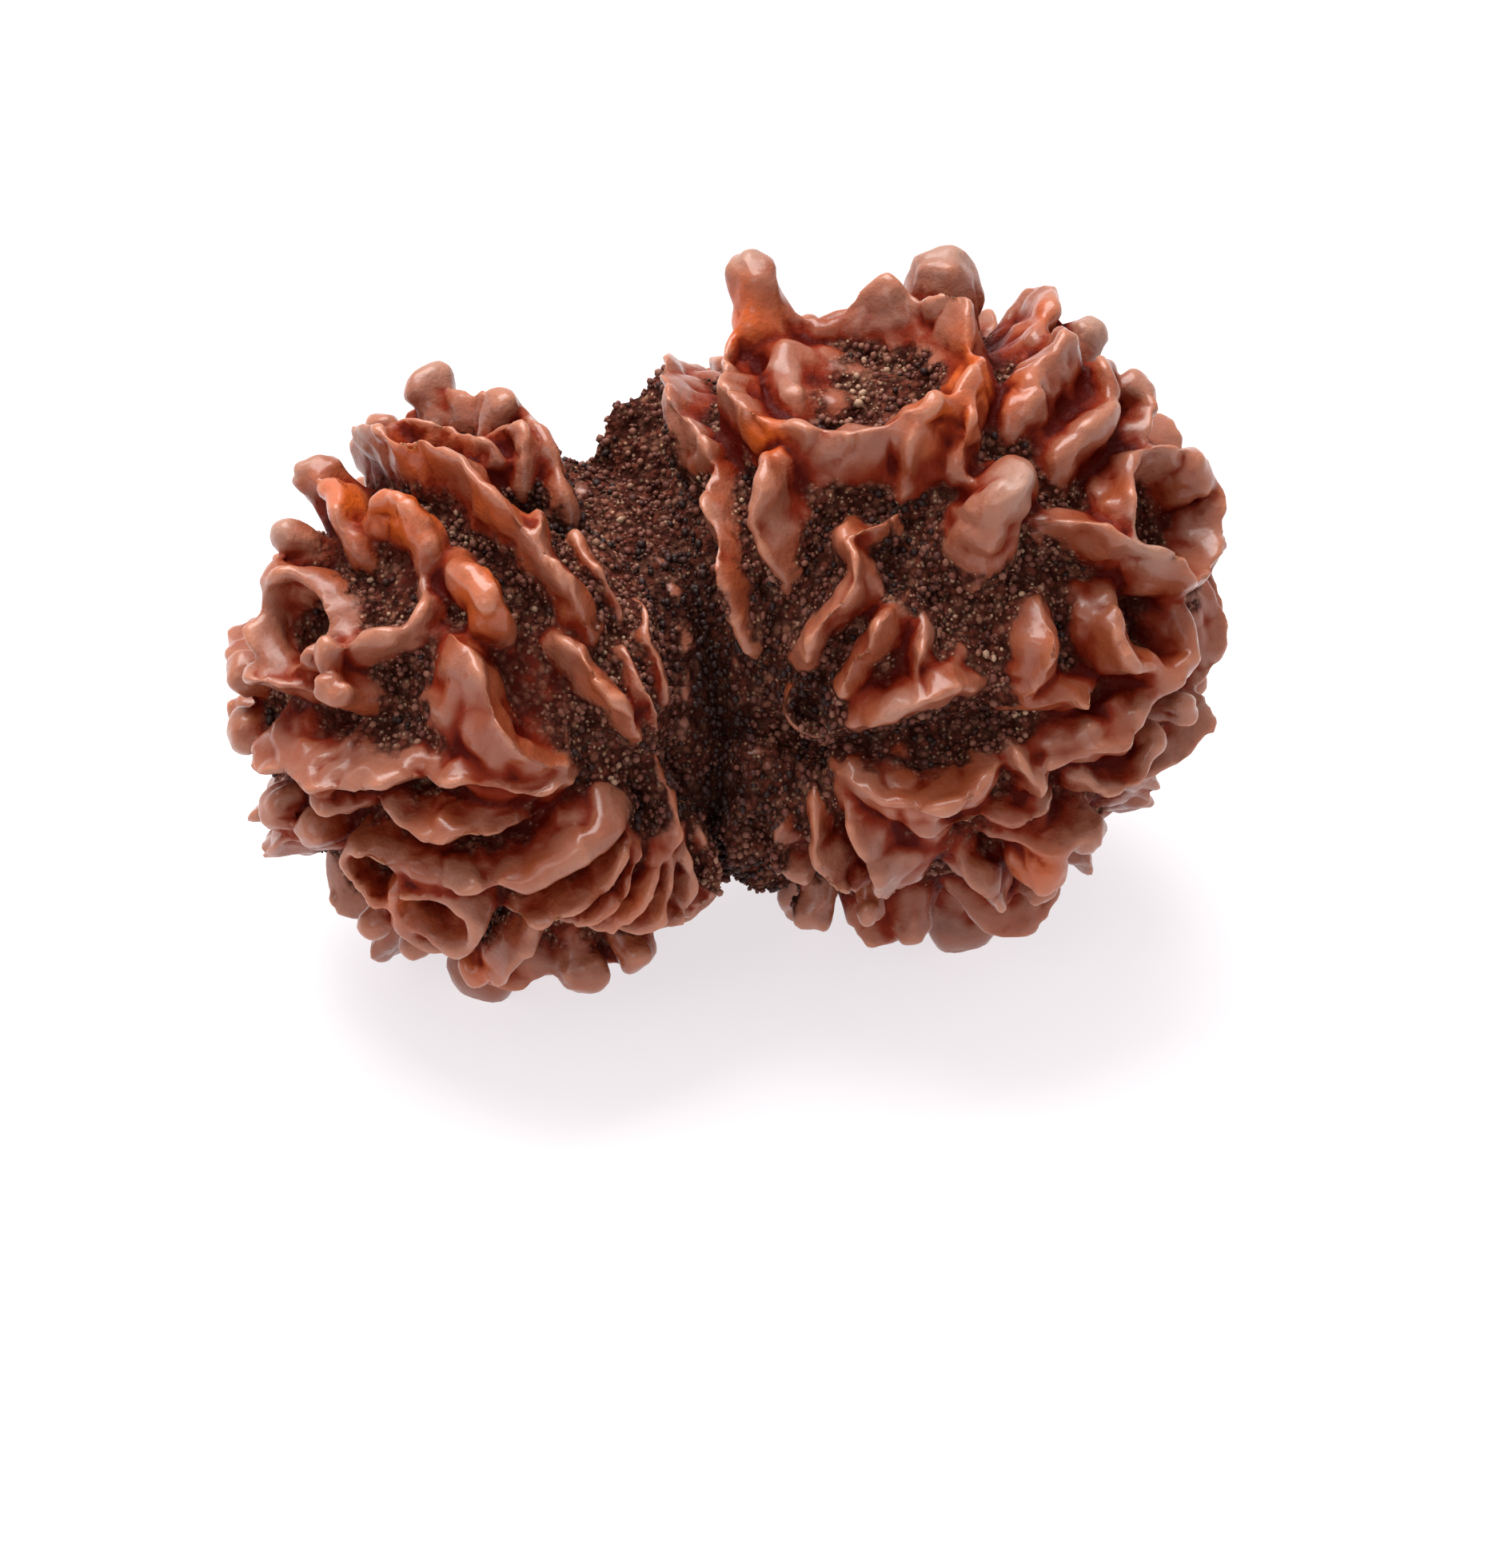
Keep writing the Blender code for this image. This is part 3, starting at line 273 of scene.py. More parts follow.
RIGHT_RIDGES = (
    # the web that climbs from the notch, and what stands along the seam between the stones
    (((98, 309, 2.0), (91, 304, 2.5), (84, 299, 2.5), (79, 292, 2.4), (76, 285, 2.0)), 0.6, 2.2),
    (((98, 310, 1.8), (91, 311, 2.8), (82, 315, 2.6), (71, 321, 2.4), (61, 328, 1.7)), 0.32, 0.8, 1.4),
    (((60, 331, 1.3), (50, 331, 1.9), (42, 333, 2.0), (33, 335, 1.9), (23, 333, 1.1)), 0.3, 0.7, 0.8),
    # the smooth slope inside the big cup, and its buttresses
    (((88, 336, 1.7), (78, 339, 1.6), (69, 346, 1.4)), 1.2, 2.4, 2.6),
    (((73, 13, 3.0), (66, 13, 2.7), (59, 15, 1.3)), 0.4, 1.3),
    (((81, 17, 2.4), (73, 20, 2.5), (65, 24, 1.5)), 0.35, 0.9),
    # the folds and spurs beyond it
    (((132, 10, 1.8), (124, 14, 2.8), (112, 19, 2.5), (102, 19, 1.5)), 0.8, 1.3),
    (((111, 24, 2.0), (101, 24, 2.8), (90, 24, 2.8), (81, 25, 1.6)), 0.9, 2.4, 1.3),
    (((113, 33, 2.1), (104, 33, 2.6), (95, 37, 2.5), (87, 36, 2.3), (79, 38, 1.4)), 0.9, 1.5, 1.7),
    (((113, 40, 2.3), (104, 44, 2.1), (95, 46, 1.2)), 0.4, 0.9),
    # the diamond-shaped boulder
    (((75, 31, 1.5), (70, 32, 2.8), (63, 32, 3.1), (58, 33, 2.5), (54, 31, 1.4)), 1.1, 1.7, 1.8),
    # the right side: a pale crest, a hook and a three-sided peak
    (((69, 42, 1.5), (74, 48, 2.5), (79, 55, 2.6), (84, 62, 2.6), (91, 67, 1.6)), 0.35, 1.3, 0.7),
    (((74, 59, 1.3), (69, 65, 2.3), (69, 73, 2.5), (74, 79, 2.6), (81, 80, 2.6), (86, 75, 2.4),
      (87, 68, 1.5)), 0.8, 1.2, 1.4),
    (((60, 52, 1.3), (55, 58, 2.8), (52, 64, 2.5), (48, 71, 1.4)), 0.35, 1.7, 1.3),
    (((46, 72, 1.0), (53, 74, 2.1), (59, 76, 1.9), (64, 78, 1.0)), 0.4, 1.6, 0.7),
    (((47, 89, 1.3), (54, 87, 2.3), (62, 85, 2.6), (70, 83, 2.3), (77, 85, 1.3)), 0.5, 1.3, 1.7),
    (((57, 98, 1.5), (65, 99, 2.2), (72, 95, 1.9)), 0.45, 0.9),
    (((43, 84, 1.3), (47, 91, 2.1), (48, 98, 1.6)), 0.35, 0.8),
    # fins and slabs round the pole
    (((41, 28, 0.9), (37, 29, 2.3), (31, 30, 2.2), (24, 29, 1.7), (18, 35, 1.0)), 0.3, 1.0, 0.8),
    (((40, 35, 1.2), (36, 42, 1.9), (29, 48, 1.1)), 0.3, 0.7),
    (((15, 46, 0.9), (21, 50, 1.8), (27, 52, 2.4), (33, 55, 2.4), (39, 59, 2.0), (44, 63, 0.9)),
     0.45, 1.5, 1.0),
    (((11, 92, 1.1), (18, 92, 2.1), (26, 91, 2.5), (34, 89, 2.5), (40, 88, 1.4)), 0.32, 0.7, 2.6),
    (((14, 105, 1.0), (24, 107, 1.9), (33, 108, 2.0), (39, 103, 1.3)), 0.35, 1.8, 0.6),
    (((11, 110, 1.1), (17, 126, 2.0), (25, 138, 2.4), (33, 145, 2.1), (39, 146, 1.2)), 0.3, 2.5, 0.7),
    (((10, 147, 1.0), (18, 155, 2.0), (26, 157, 2.2), (34, 157, 1.3)), 0.32, 0.8, 1.0),
    (((11, 178, 1.0), (20, 179, 1.9), (31, 178, 1.5)), 0.32, 0.8),
    (((12, 215, 0.9), (22, 212, 1.6), (32, 210, 1.1)), 0.32, 0.8),
    (((50, 6, 1.3), (46, 9, 2.2), (42, 15, 2.4), (38, 17, 2.3), (32, 13, 2.2), (26, 9, 1.9), (20, 4, 1.0)),
     0.3, 0.8, 1.0),
    (((53, 15, 1.2), (47, 11, 2.1)), 0.3, 0.7),
    (((60, 343, 1.5), (54, 346, 2.7), (47, 347, 2.6), (41, 349, 2.1), (36, 350, 1.1)), 0.65, 1.2),
    # the cluster low on the right
    (((43, 112, 1.3), (52, 111, 2.3), (61, 110, 1.8)), 0.45, 1.0),
    (((40, 125, 1.3), (47, 129, 2.3), (55, 135, 2.2), (63, 141, 1.3)), 0.45, 1.1),
    (((39, 104, 1.4), (46, 104, 1.9), (53, 102, 1.3)), 0.35, 0.8),
    (((60, 150, 1.6), (65, 147, 2.5), (70, 142, 2.5), (73, 135, 1.5)), 0.45, 1.1, 0.9),
    (((52, 176, 1.3), (55, 170, 2.3), (58, 165, 2.2), (60, 159, 1.4)), 0.5, 1.2),
    # the low web between the stones below the poles
    (((10, 232, 1.0), (19, 212, 1.6), (29, 201, 1.8), (39, 196, 1.9), (47, 192, 1.3)), 0.8, 1.8),
)

# Each cup is the crest of its closed rim, then half its thickness and how far it spreads out and in. The rim
# is listed clockwise as seen from outside, so that its right side is the inner one.
LEFT_CUPS = (
    (((107, 303, 2.0), (103, 310, 2.5), (95, 311, 1.7), (88, 306, 1.5), (87, 299, 2.2), (94, 294, 1.6),
      (103, 296, 2.3)), 0.45, 1.3, 0.7),
    (((73, 262, 1.8), (66, 263, 1.9), (62, 256, 1.7), (66, 250, 1.9), (73, 252, 1.6)), 0.35, 0.8, 0.6),
    (((64, 251, 1.9), (58, 255, 2.2), (51, 252, 2.1), (48, 244, 2.2), (53, 238, 2.3), (60, 238, 2.0),
      (65, 244, 1.9)), 0.5, 1.1, 0.8),
)
RIGHT_CUPS = (
    (((84, 330, 2.3), (75, 332, 2.6), (67, 337, 2.5), (63, 346, 2.4), (62, 355, 2.3), (63, 3, 2.5),
      (67, 10, 3.0), (73, 15, 2.6), (81, 16, 3.1), (89, 13, 2.2), (95, 7, 3.2), (100, 359, 2.0),
      (100, 351, 2.9), (96, 343, 1.7), (91, 335, 2.2)), 0.4, 1.2, 1.5),
    (((105, 53, 2.6), (108, 60, 2.9), (103, 67, 2.4), (94, 70, 2.3), (85, 66, 2.6), (79, 58, 2.4),
      (82, 50, 2.5), (93, 46, 2.2)), 0.4, 0.9, 0.8),
    (((19, 20, 0.6), (16, 40, 0.8), (10, 48, 0.7), (7, 20, 0.5), (10, 350, 0.5), (16, 0, 0.6)),
     0.3, 0.6, 0.4),
)

# Each knob is (polar, clock) of its root, (polar, clock, height) of its tip, and its radius.
LEFT_KNOBS = (
    ((121, 5), (123, 5, 3.3), 0.85),
    ((126, 353), (129, 353, 2.4), 0.6),
    ((99, 4), (101, 5, 2.6), 0.7),
    ((115, 330), (121, 331, 2.8), 0.9),
    ((112, 316), (115, 316, 2.3), 0.85),
    ((107, 308), (109, 308, 2.4), 0.75),
    ((75, 299), (77, 297, 2.6), 0.72),
    ((80, 305), (82, 303, 2.6), 0.62),
    ((112, 284), (114, 284, 2.2), 0.9),
    ((110, 271), (112, 271, 2.0), 0.85),
    ((93, 262), (95, 262, 2.1), 0.9),
    ((82, 262), (84, 262, 1.9), 0.8),
    ((61, 219), (63, 218, 2.1), 0.65),
    ((51, 198), (53, 196, 2.3), 0.9),
    ((43, 187), (45, 185, 2.1), 0.7),
    ((70, 229), (72, 228, 1.9), 0.65),
    ((72, 240), (74, 240, 2.0), 0.7),
)
RIGHT_KNOBS = (
    ((83, 330), (94, 333, 4.5), 0.98),
    ((112, 358), (115, 356, 3.2), 1.35),
    ((119, 26), (121, 26, 2.7), 0.9),
    ((110, 40), (112, 40, 2.7), 0.85),
    ((105, 56), (107, 56, 2.9), 0.9),
    ((80, 92), (82, 92, 2.2), 0.6),
    ((71, 94), (73, 94, 2.1), 0.6),
    ((44, 181), (46, 180, 2.3), 0.65),
    ((40, 161), (42, 161, 2.1), 0.6),
    ((55, 161), (57, 161, 2.3), 0.8),
    ((52, 118), (54, 118, 2.9), 0.85),
    ((61, 112), (63, 112, 2.3), 0.8),
    ((62, 133), (64, 133, 2.2), 0.7),
)

# Feet, as (x, y) under each stone.
LEFT_FEET = ((-8.9, -2.3), (-7.9, 2.9))
RIGHT_FEET = ((7.3, -2.9), (8.1, 2.6))

# The lists cover the side that faces SEEN_SIDE; a rule covers the rest of the surface.
SEEN_SIDE = (-0.17, -0.80, 0.57)
SEEN_LIMIT = 0.27
RULE_SEED = 108
RULE_SPACING = 2.9
RULE_LEAST = 4
RULE_CLEARANCE = 2.0
RULE_JITTER = (3.0, 5.0)
RULE_TURN = 60.0
RULE_BOW = 0.4
RULE_HEIGHTS = (1.9, 3.0)
RULE_REACHES = (1.2, 2.5)
RIDGE_WIDTHS = ((0.32, 0.52), (0.8, 1.8), (1.6, 0.9))
RULE_RISE = ((-1.0, 0.5), (-0.4, 0.95), (0.3, 1.0), (1.0, 0.5))
LOWEST_SHARE = 0.35
POLE_ZONE = 50.0
POLE_TURN_SHARE = 0.25
POLE_NARROWEST = 0.25
SEAM_CLEARANCE = 1.2
SEAM_FADE = 6.0
SEAM_TOP = 11.0
SEAM_RISE = 0.6
RIM_FROM = -0.3
RIM_LOWERING = 0.75
KNOB_SHARE = 0.2
KNOB_RADII = (0.6, 0.9)
KNOB_LEAN_PARTS = (12, 16)
CUP_SHARE = 0.14
CUP_SIZES = (1.1, 1.6)
CUP_WALL = (0.38, 0.9, 0.6)
CUP_LEVEL = 0.75
CUP_WAVE = 0.1
CUP_CORNERS = 6


class Stone:
    """One of the two stones: its centre, ground radius, and the frame of its poles.

    Its axis is given by its turn from -Y towards +X and its tilt upwards. The roots of its tubercles reach
    out by spread times what the lists say.
    """

    def __init__(self, centre, radius, axis, seams, spread, dent=None):
        turn, tilt = np.radians(axis)
        self.centre = np.array(centre)
        self.radius = radius
        self.seams = seams
        self.spread = spread
        self.dent = dent
        level = math.cos(tilt)
        self.axis = np.array([math.sin(turn) * level, -math.cos(turn) * level, math.sin(tilt)])
        side = np.cross([0.0, 0.0, 1.0], self.axis)
        self.side = side / np.linalg.norm(side)
        self.up = np.cross(self.axis, self.side)

    def outward(self, polar, clock):
        """The unit vector at polar and clock: cos(polar) along the axis, sin(polar) round it."""
        polar, clock = np.radians(polar)[..., None], np.radians(clock)[..., None]
        round_axis = np.cos(clock) * self.up + np.sin(clock) * self.side
        return np.cos(polar) * self.axis + np.sin(polar) * round_axis

    def dent_depth(self, polar, clock):
        """How far the ground lies below the ball: a broad hollow round the stone's dent."""
        if self.dent is None:
            return np.zeros(np.shape(polar))
        middle = self.outward(np.float64(self.dent[0]), np.float64(self.dent[1]))
        away = np.degrees(np.arccos(np.clip(self.outward(polar, clock) @ middle, -1, 1)))
        return DENT_DEPTH * np.exp(-((away / DENT_ANGLE) ** 2))

    def place(self, polar, clock, height):
        """The point at this polar and clock that stands height above the ball, kept off the floor."""
        ray = self.outward(np.asarray(polar, float), np.asarray(clock, float))
        reach = self.radius + self.kept_off_floor(ray, np.asarray(height, float))
        return self.centre + ray * reach[..., None]

    def kept_off_floor(self, ray, height):
        """The height, lowered where the ray would otherwise end nearer the floor than FLOOR_GAP."""
        lowest = (FLOOR_GAP - self.centre[2]) / np.minimum(ray[..., 2], -1e-6) - self.radius
        return np.where(ray[..., 2] < 0, np.minimum(height, lowest), height)


class Heap:
    """Closed surfaces gathered into one mesh: points in millimetres, and faces that count from the first."""

    def __init__(self):
        self.points = []
        self.faces = []
        self.count = 0

    def add(self, points, faces):
        self.points.append(points)
        self.faces += [[corner + self.count for corner in face] for face in faces]
        self.count += len(points)

    def mesh(self, name):
        mesh = bpy.data.meshes.new(name)
        mesh.from_pydata(np.concatenate(self.points) * MM, [], self.faces)
        return mesh


def smooth_line(knots, per_span, closed=False):
    """A Catmull-Rom curve through the knots, per_span samples to each span.

    Between b and c, with a before and d after, it is the cubic that leaves along c - a and arrives
    along d - b.
    """
    knots = np.asarray(knots, float)
    if closed:
        a, b, c, d = (np.roll(knots, shift, 0) for shift in (1, 0, -1, -2))
    else:
        padded = np.concatenate([2 * knots[:1] - knots[1:2], knots, 2 * knots[-1:] - knots[-2:-1]])
        a, b, c, d = padded[:-3], padded[1:-2], padded[2:-1], padded[3:]
    a, b, c, d = (side[:, None, :] for side in (a, b, c, d))
    t = (np.arange(per_span) / per_span)[None, :, None]
    line = b + 0.5 * t * (c - a + t * (2 * a - 5 * b + 4 * c - d + t * (3 * (b - c) + d - a)))
    line = line.reshape(-1, knots.shape[1])
    return line if closed else np.concatenate([line, knots[-1:]])


def tube_faces(rings, sides, closed=False):
    """Quads between neighbouring rings of a sweep, and one face over each end unless it closes on itself."""
    ring = np.arange(rings if closed else rings - 1)[:, None]
    k = np.arange(sides)[None, :]
    here, there, following = ring * sides, (ring + 1) % rings * sides, (k + 1) % sides
    quads = np.stack([here + k, here + following, there + following, there + k], axis=-1)
    faces = quads.reshape(-1, 4).tolist()
    if not closed:
        last = (rings - 1) * sides
        faces += [list(range(sides))[::-1], list(range(last, last + sides))]
    return faces


def ridge_section():
    """(side, flank, turn) of each point of a ridge's section, up its left side and down its right.

    Flank goes from 0 at the root to 1 at the shoulder, where turn goes from 0 to nearly 90 degrees at the
    crest.
    """
    flank = np.array([0.0, 0.14, 0.3, 0.47, 0.64, 0.82, 1.0, 1.0, 1.0, 1.0])
    turn = np.radians([0.0, 0.0, 0.0, 0.0, 0.0, 0.0, 0.0, 28.0, 56.0, 80.0])
    side = np.repeat([-1.0, 1.0], len(flank))
    return side, np.concatenate([flank, flank[::-1]]), np.concatenate([turn, turn[::-1]])


def sweep_ridge(heap, stone, crest, half, left, right, closed=False):
    """A ridge: the section of ridge_section carried along its crest, a smooth curve over the ground.

    Below its shoulder the ridge is as wide as its crest plus reach * (1 - flank). The crown above it is a
    quarter of an ellipse on each side. Noise varies the height, each flank's reach and the lean. An open
    crest runs on by END_REACH at each end, where it drops to END_HEIGHT of its height and narrows.
    """
    polar, clock, height = np.array(crest, float).T
    ground = stone.place(polar, clock, np.zeros(len(crest)))
    knots = np.column_stack([ground, height, np.ones(len(crest))])
    if not closed:
        steps = np.array([knots[0] - knots[1], knots[-1] - knots[-2]])[:, :3]
        steps *= END_REACH / np.linalg.norm(steps, axis=1)[:, None]
        ends = knots[[0, -1]]
        ends[:, :3] += steps
        ends[:, 3] *= END_HEIGHT
        ends[:, 4] = END_NARROWING
        knots = np.concatenate([ends[:1], knots, ends[1:]])
    length = np.linalg.norm(np.diff(knots[:, :3], axis=0), axis=1).mean()
    line = smooth_line(knots, max(3, round(length / STATION_GAP)), closed)
    outward = line[:, :3] - stone.centre
    outward /= np.linalg.norm(outward, axis=1)[:, None]
    ground = stone.centre + outward * stone.radius
    top, narrow = stone.kept_off_floor(outward, line[:, 3]), line[:, 4]
    if closed:
        along = np.roll(ground, -1, 0) - np.roll(ground, 1, 0)
    else:
        along = np.gradient(ground, axis=0)
    across = np.cross(along, outward)
    across /= np.linalg.norm(across, axis=1)[:, None]
    side, flank, turn = ridge_section()
    thin, reach = CREST_SHARE * half, stone.spread * np.where(side < 0, left, right) - half
    ripples = [cloud(ground, RIPPLE_CELL, seed)[:, None] for seed in (31, 32, 33, 34)]
    flutes = np.where(side < 0, ripples[0], ripples[1])
    lean = LEAN_RIPPLE * ripples[2] * flank
    spread = reach * (1 - flank) * (1 + FLANK_RIPPLE * flutes)
    offset = narrow[:, None] * side * (thin * np.cos(turn) + spread) + lean
    top = top[:, None] * (1 + HEIGHT_RIPPLE * ripples[3])
    crown = np.minimum(thin, CROWN_SHARE * np.abs(top))
    level = flank * (top - crown) + crown * np.sin(turn) - SINK * (1 - flank) ** 3
    points = ground[:, None] + across[:, None] * offset[..., None] + outward[:, None] * level[..., None]
    heap.add(points.reshape(-1, 3), tube_faces(len(line), len(side), closed))


def sweep_finger(heap, stone, root, tip, radius):
    """A finger: a turned profile from a root in the stone to a ball-shaped head, waisted below the head.

    The head is half a ball of this radius; two radii below its top the finger is FINGER_WAIST of it wide.
    """
    start = stone.place(root[0], root[1], -SINK)
    end = stone.place(tip[0], tip[1], tip[2])
    length = np.linalg.norm(end - start)
    axis = (end - start) / length
    head = radius / length
    curve = np.radians([0.0, 30.0, 55.0, 78.0])
    share = [0.0, 1 - 2 * head, *(1 - head * (1 - np.sin(curve)))]
    wide = [FINGER_ROOT, FINGER_WAIST, *np.cos(curve)]
    share, wide = smooth_line(np.column_stack([share, wide]), FINGER_SAMPLES).T
    side = np.cross(axis, ASKEW)
    side /= np.linalg.norm(side)
    angle = np.arange(FINGER_SIDES) * 2 * math.pi / FINGER_SIDES
    ring = np.cos(angle)[:, None] * side + np.sin(angle)[:, None] * np.cross(axis, side)
    points = start + (end - start) * share[:, None, None] + ring * (radius * wide)[:, None, None]
    heap.add(points.reshape(-1, 3), tube_faces(len(share), FINGER_SIDES))


def sweep_foot(heap, stone, x, y):
    """A low blunt tubercle under a stone: a turned profile that reaches a little below z = 0."""
    away = np.array([x, y]) - stone.centre[:2]
    ground = stone.centre[2] - math.sqrt(stone.radius**2 - away @ away)
    levels = (-FOOT_EXTRA, FOOT_BULGE_LEVEL, ground * FOOT_WAIST_SHARE, ground + SINK)
    level, wide = smooth_line(np.column_stack([levels, FOOT_WIDTHS]), FOOT_SAMPLES).T
    angle = np.arange(FINGER_SIDES) * 2 * math.pi / FINGER_SIDES
    ring = np.column_stack([np.cos(angle), np.sin(angle), np.zeros(FINGER_SIDES)]) * FOOT_RADIUS
    ring *= (1 + FOOT_LOBES * np.cos(3 * angle + x))[:, None]
    points = ring * wide[:, None, None] + np.array([x, y, 0.0])
    points[..., 2] = level[:, None]
    heap.add(points.reshape(-1, 3), tube_faces(len(level), FINGER_SIDES))


def sweep_ground(heap, stone):
    """The ground of a stone: a ball, less its dent, a pit exp(-(polar / PIT_ANGLE)^2) at each pole and a
    groove exp(-(turn from the seam / SEAM_ANGLE)^2) along each seam."""
    polars, clocks = np.arange(GROUND_STEP / 2, 180.0, GROUND_STEP), np.arange(0.0, 360.0, GROUND_STEP)
    polar, clock = np.meshgrid(polars, clocks, indexing="ij")
    pit = PIT_DEPTH * np.exp(-((np.minimum(polar, 180.0 - polar) / PIT_ANGLE) ** 2))
    turns = (clock[..., None] - np.array(stone.seams) + 180.0) % 360.0 - 180.0
    groove = SEAM_DEPTH * np.sin(np.radians(polar)) ** 0.5 * np.exp(-((turns / SEAM_ANGLE) ** 2)).sum(-1)
    points = stone.place(polar, clock, -pit - groove - stone.dent_depth(polar, clock))
    heap.add(points.reshape(-1, 3), tube_faces(len(polars), len(clocks)))


def stand(name, data):
    """A new object with this mesh, lamp or lens, put into the scene."""
    made = bpy.data.objects.new(name, data)
    bpy.context.scene.collection.objects.link(made)
    return made


def apply_modifier(obj, kind, **settings):
    """Adds one modifier with these settings and turns its result into the object's mesh."""
    modifier = obj.modifiers.new(kind.lower(), kind)
    for name, value in settings.items():
        setattr(modifier, name, value)
    graph = bpy.context.evaluated_depsgraph_get()
    mesh = bpy.data.meshes.new_from_object(obj.evaluated_get(graph))
    obj.modifiers.clear()
    obj.data = mesh


def read(items, field, width, kind=np.float32):
    """This field of every item, which has width numbers, as one long array."""
    values = np.empty(len(items) * width, kind)
    items.foreach_get(field, values)
    return values


def points_of(mesh):
    return read(mesh.vertices, "co", 3).reshape(-1, 3).astype(float) / MM


def outwards_of(mesh):
    return read(mesh.vertex_normals, "vector", 3).reshape(-1, 3).astype(float)


def edges_of(mesh):
    return read(mesh.edges, "vertices", 2, np.int32).reshape(-1, 2)


def faces_of(mesh):
    """The corners of each face of a mesh of quads."""
    return read(mesh.loops, "vertex_index", 1, np.int32).reshape(-1, 4)


def numbers_of(mesh, name):
    """What mark kept under this name."""
    return read(mesh.attributes[name].data, "value", 1)


def mark(mesh, name, values):
    """Keeps one number for each point of the mesh, for the finish to read."""
    attribute = mesh.attributes.new(name, "FLOAT", "POINT")
    attribute.data.foreach_set("value", values.astype(np.float32))


def keep_outer_skin(mesh):
    """Drops every shell but the largest.

    Each point takes the lowest number among its neighbours, and then the number of that point, until none
    changes: points with the same number are one shell.
    """
    edges = edges_of(mesh)
    shell = np.arange(len(mesh.vertices))
    while True:
        before = shell.copy()
        low = np.minimum(shell[edges[:, 0]], shell[edges[:, 1]])
        np.minimum.at(shell, edges[:, 0], low)
        np.minimum.at(shell, edges[:, 1], low)
        shell = shell[shell]
        if (shell == before).all():
            break
    kept = shell == np.bincount(shell).argmax()
    faces = faces_of(mesh)
    number = np.cumsum(kept) - 1
    outer = bpy.data.meshes.new(mesh.name)
    outer.from_pydata(points_of(mesh)[kept] * MM, [], number[faces[kept[faces[:, 0]]]])
    return outer


def facet(points, faces):
    """Draws the skin of quads into flat facets that meet in crisp edges.

    Each face's normal n becomes the mean of itself and its neighbours' normals m, each weighted by
    max(0, m . n - FACET_LIMIT)^2, so that it never mixes over an edge. The points then settle: each moves by
    the mean, over its faces with centre c, of n (n . (c - point)).
    """
    across = points[faces[:, 2]] - points[faces[:, 0]], points[faces[:, 3]] - points[faces[:, 1]]
    normals = np.cross(*across)
    normals /= np.linalg.norm(normals, axis=1)[:, None] + 1e-9
    ends = np.sort(np.stack([faces, np.roll(faces, -1, 1)], axis=2).reshape(-1, 2), axis=1).astype(np.int64)
    pairs = np.argsort(ends[:, 0] * len(points) + ends[:, 1], kind="stable").reshape(-1, 2) // 4
    a, b = pairs.T
    count = len(faces)
    for _ in range(FACET_ROUNDS):
        weight = np.maximum(0.0, (normals[a] * normals[b]).sum(axis=1) - FACET_LIMIT) ** 2
        total = [
            side + np.bincount(a, weight * side[b], count) + np.bincount(b, weight * side[a], count)
            for side in normals.T
        ]
        normals = np.column_stack(total)
        normals /= np.linalg.norm(normals, axis=1)[:, None]
    corner, owner = faces.ravel(), np.repeat(np.arange(count), 4)
    shared = np.bincount(corner, minlength=len(points))
    for _ in range(FACET_MOVES):
        middle = points[faces].mean(axis=1)
        reach = (normals[owner] * (middle[owner] - points[corner])).sum(axis=1)
        moves = [np.bincount(corner, reach * side[owner], len(points)) for side in normals.T]
        points = points + np.column_stack(moves) / shared[:, None]
    return points


def cloud(points, cell, seed):
    """Noise from -1 to 1: random values on a lattice of this cell, blended by 3t^2 - 2t^3 on each axis."""
    lattice = np.random.default_rng(seed).uniform(-1, 1, (LATTICE,) * 3)
    scaled = points / cell
    low = np.floor(scaled).astype(int)
    share = scaled - low
    share = share * share * (3 - 2 * share)
    total = np.zeros(len(points))
    for corner in itertools.product((0, 1), repeat=3):
        weight = np.prod(np.where(corner, share, 1 - share), axis=1)
        total += weight * lattice[tuple(((low + corner) % LATTICE).T)]
    return total


def pebbles(points, cell, seed):
    """Distance to the nearest of points scattered one to each cell, in cells: 0 on a pebble."""
    scatter = np.random.default_rng(seed).uniform(0.1, 0.9, (LATTICE, LATTICE, LATTICE, 3))
    scaled = points / cell
    low = np.floor(scaled).astype(int)
    nearest = np.full(len(points), np.inf)
    for step in itertools.product((-1, 0, 1), repeat=3):
        corner = low + step
        place = corner + scatter[tuple((corner % LATTICE).T)]
        nearest = np.minimum(nearest, ((scaled - place) ** 2).sum(axis=1))
    return np.sqrt(nearest)


def spread_out(values, edges, passes):
    """Each value becomes the mean of itself and its neighbours' mean, this many times."""
    count = len(values)
    a, b = edges.T
    neighbours = np.bincount(a, minlength=count) + np.bincount(b, minlength=count)
    for _ in range(passes):
        total = np.bincount(a, values[b], count) + np.bincount(b, values[a], count)
        values = 0.5 * (values + total / neighbours)
    return values


def ramp(values, low, high):
    """0 below low, 1 above high, and 3t^2 - 2t^3 between."""
    t = np.clip((values - low) / (high - low), 0, 1)
    return t * t * (3 - 2 * t)


def reliefs_over(points, stones):
    """Height above the ground of each stone."""
    return [np.linalg.norm(points - stone.centre, axis=1) - stone.radius for stone in stones]


def blurred(field):
    """The field after SHUT_PASSES rounds of (before + 2 here + after) / 4 along each axis."""
    for axis in range(3):
        for _ in range(SHUT_PASSES):
            field = 0.5 * field + 0.25 * (np.roll(field, 1, axis) + np.roll(field, -1, axis))
    return field


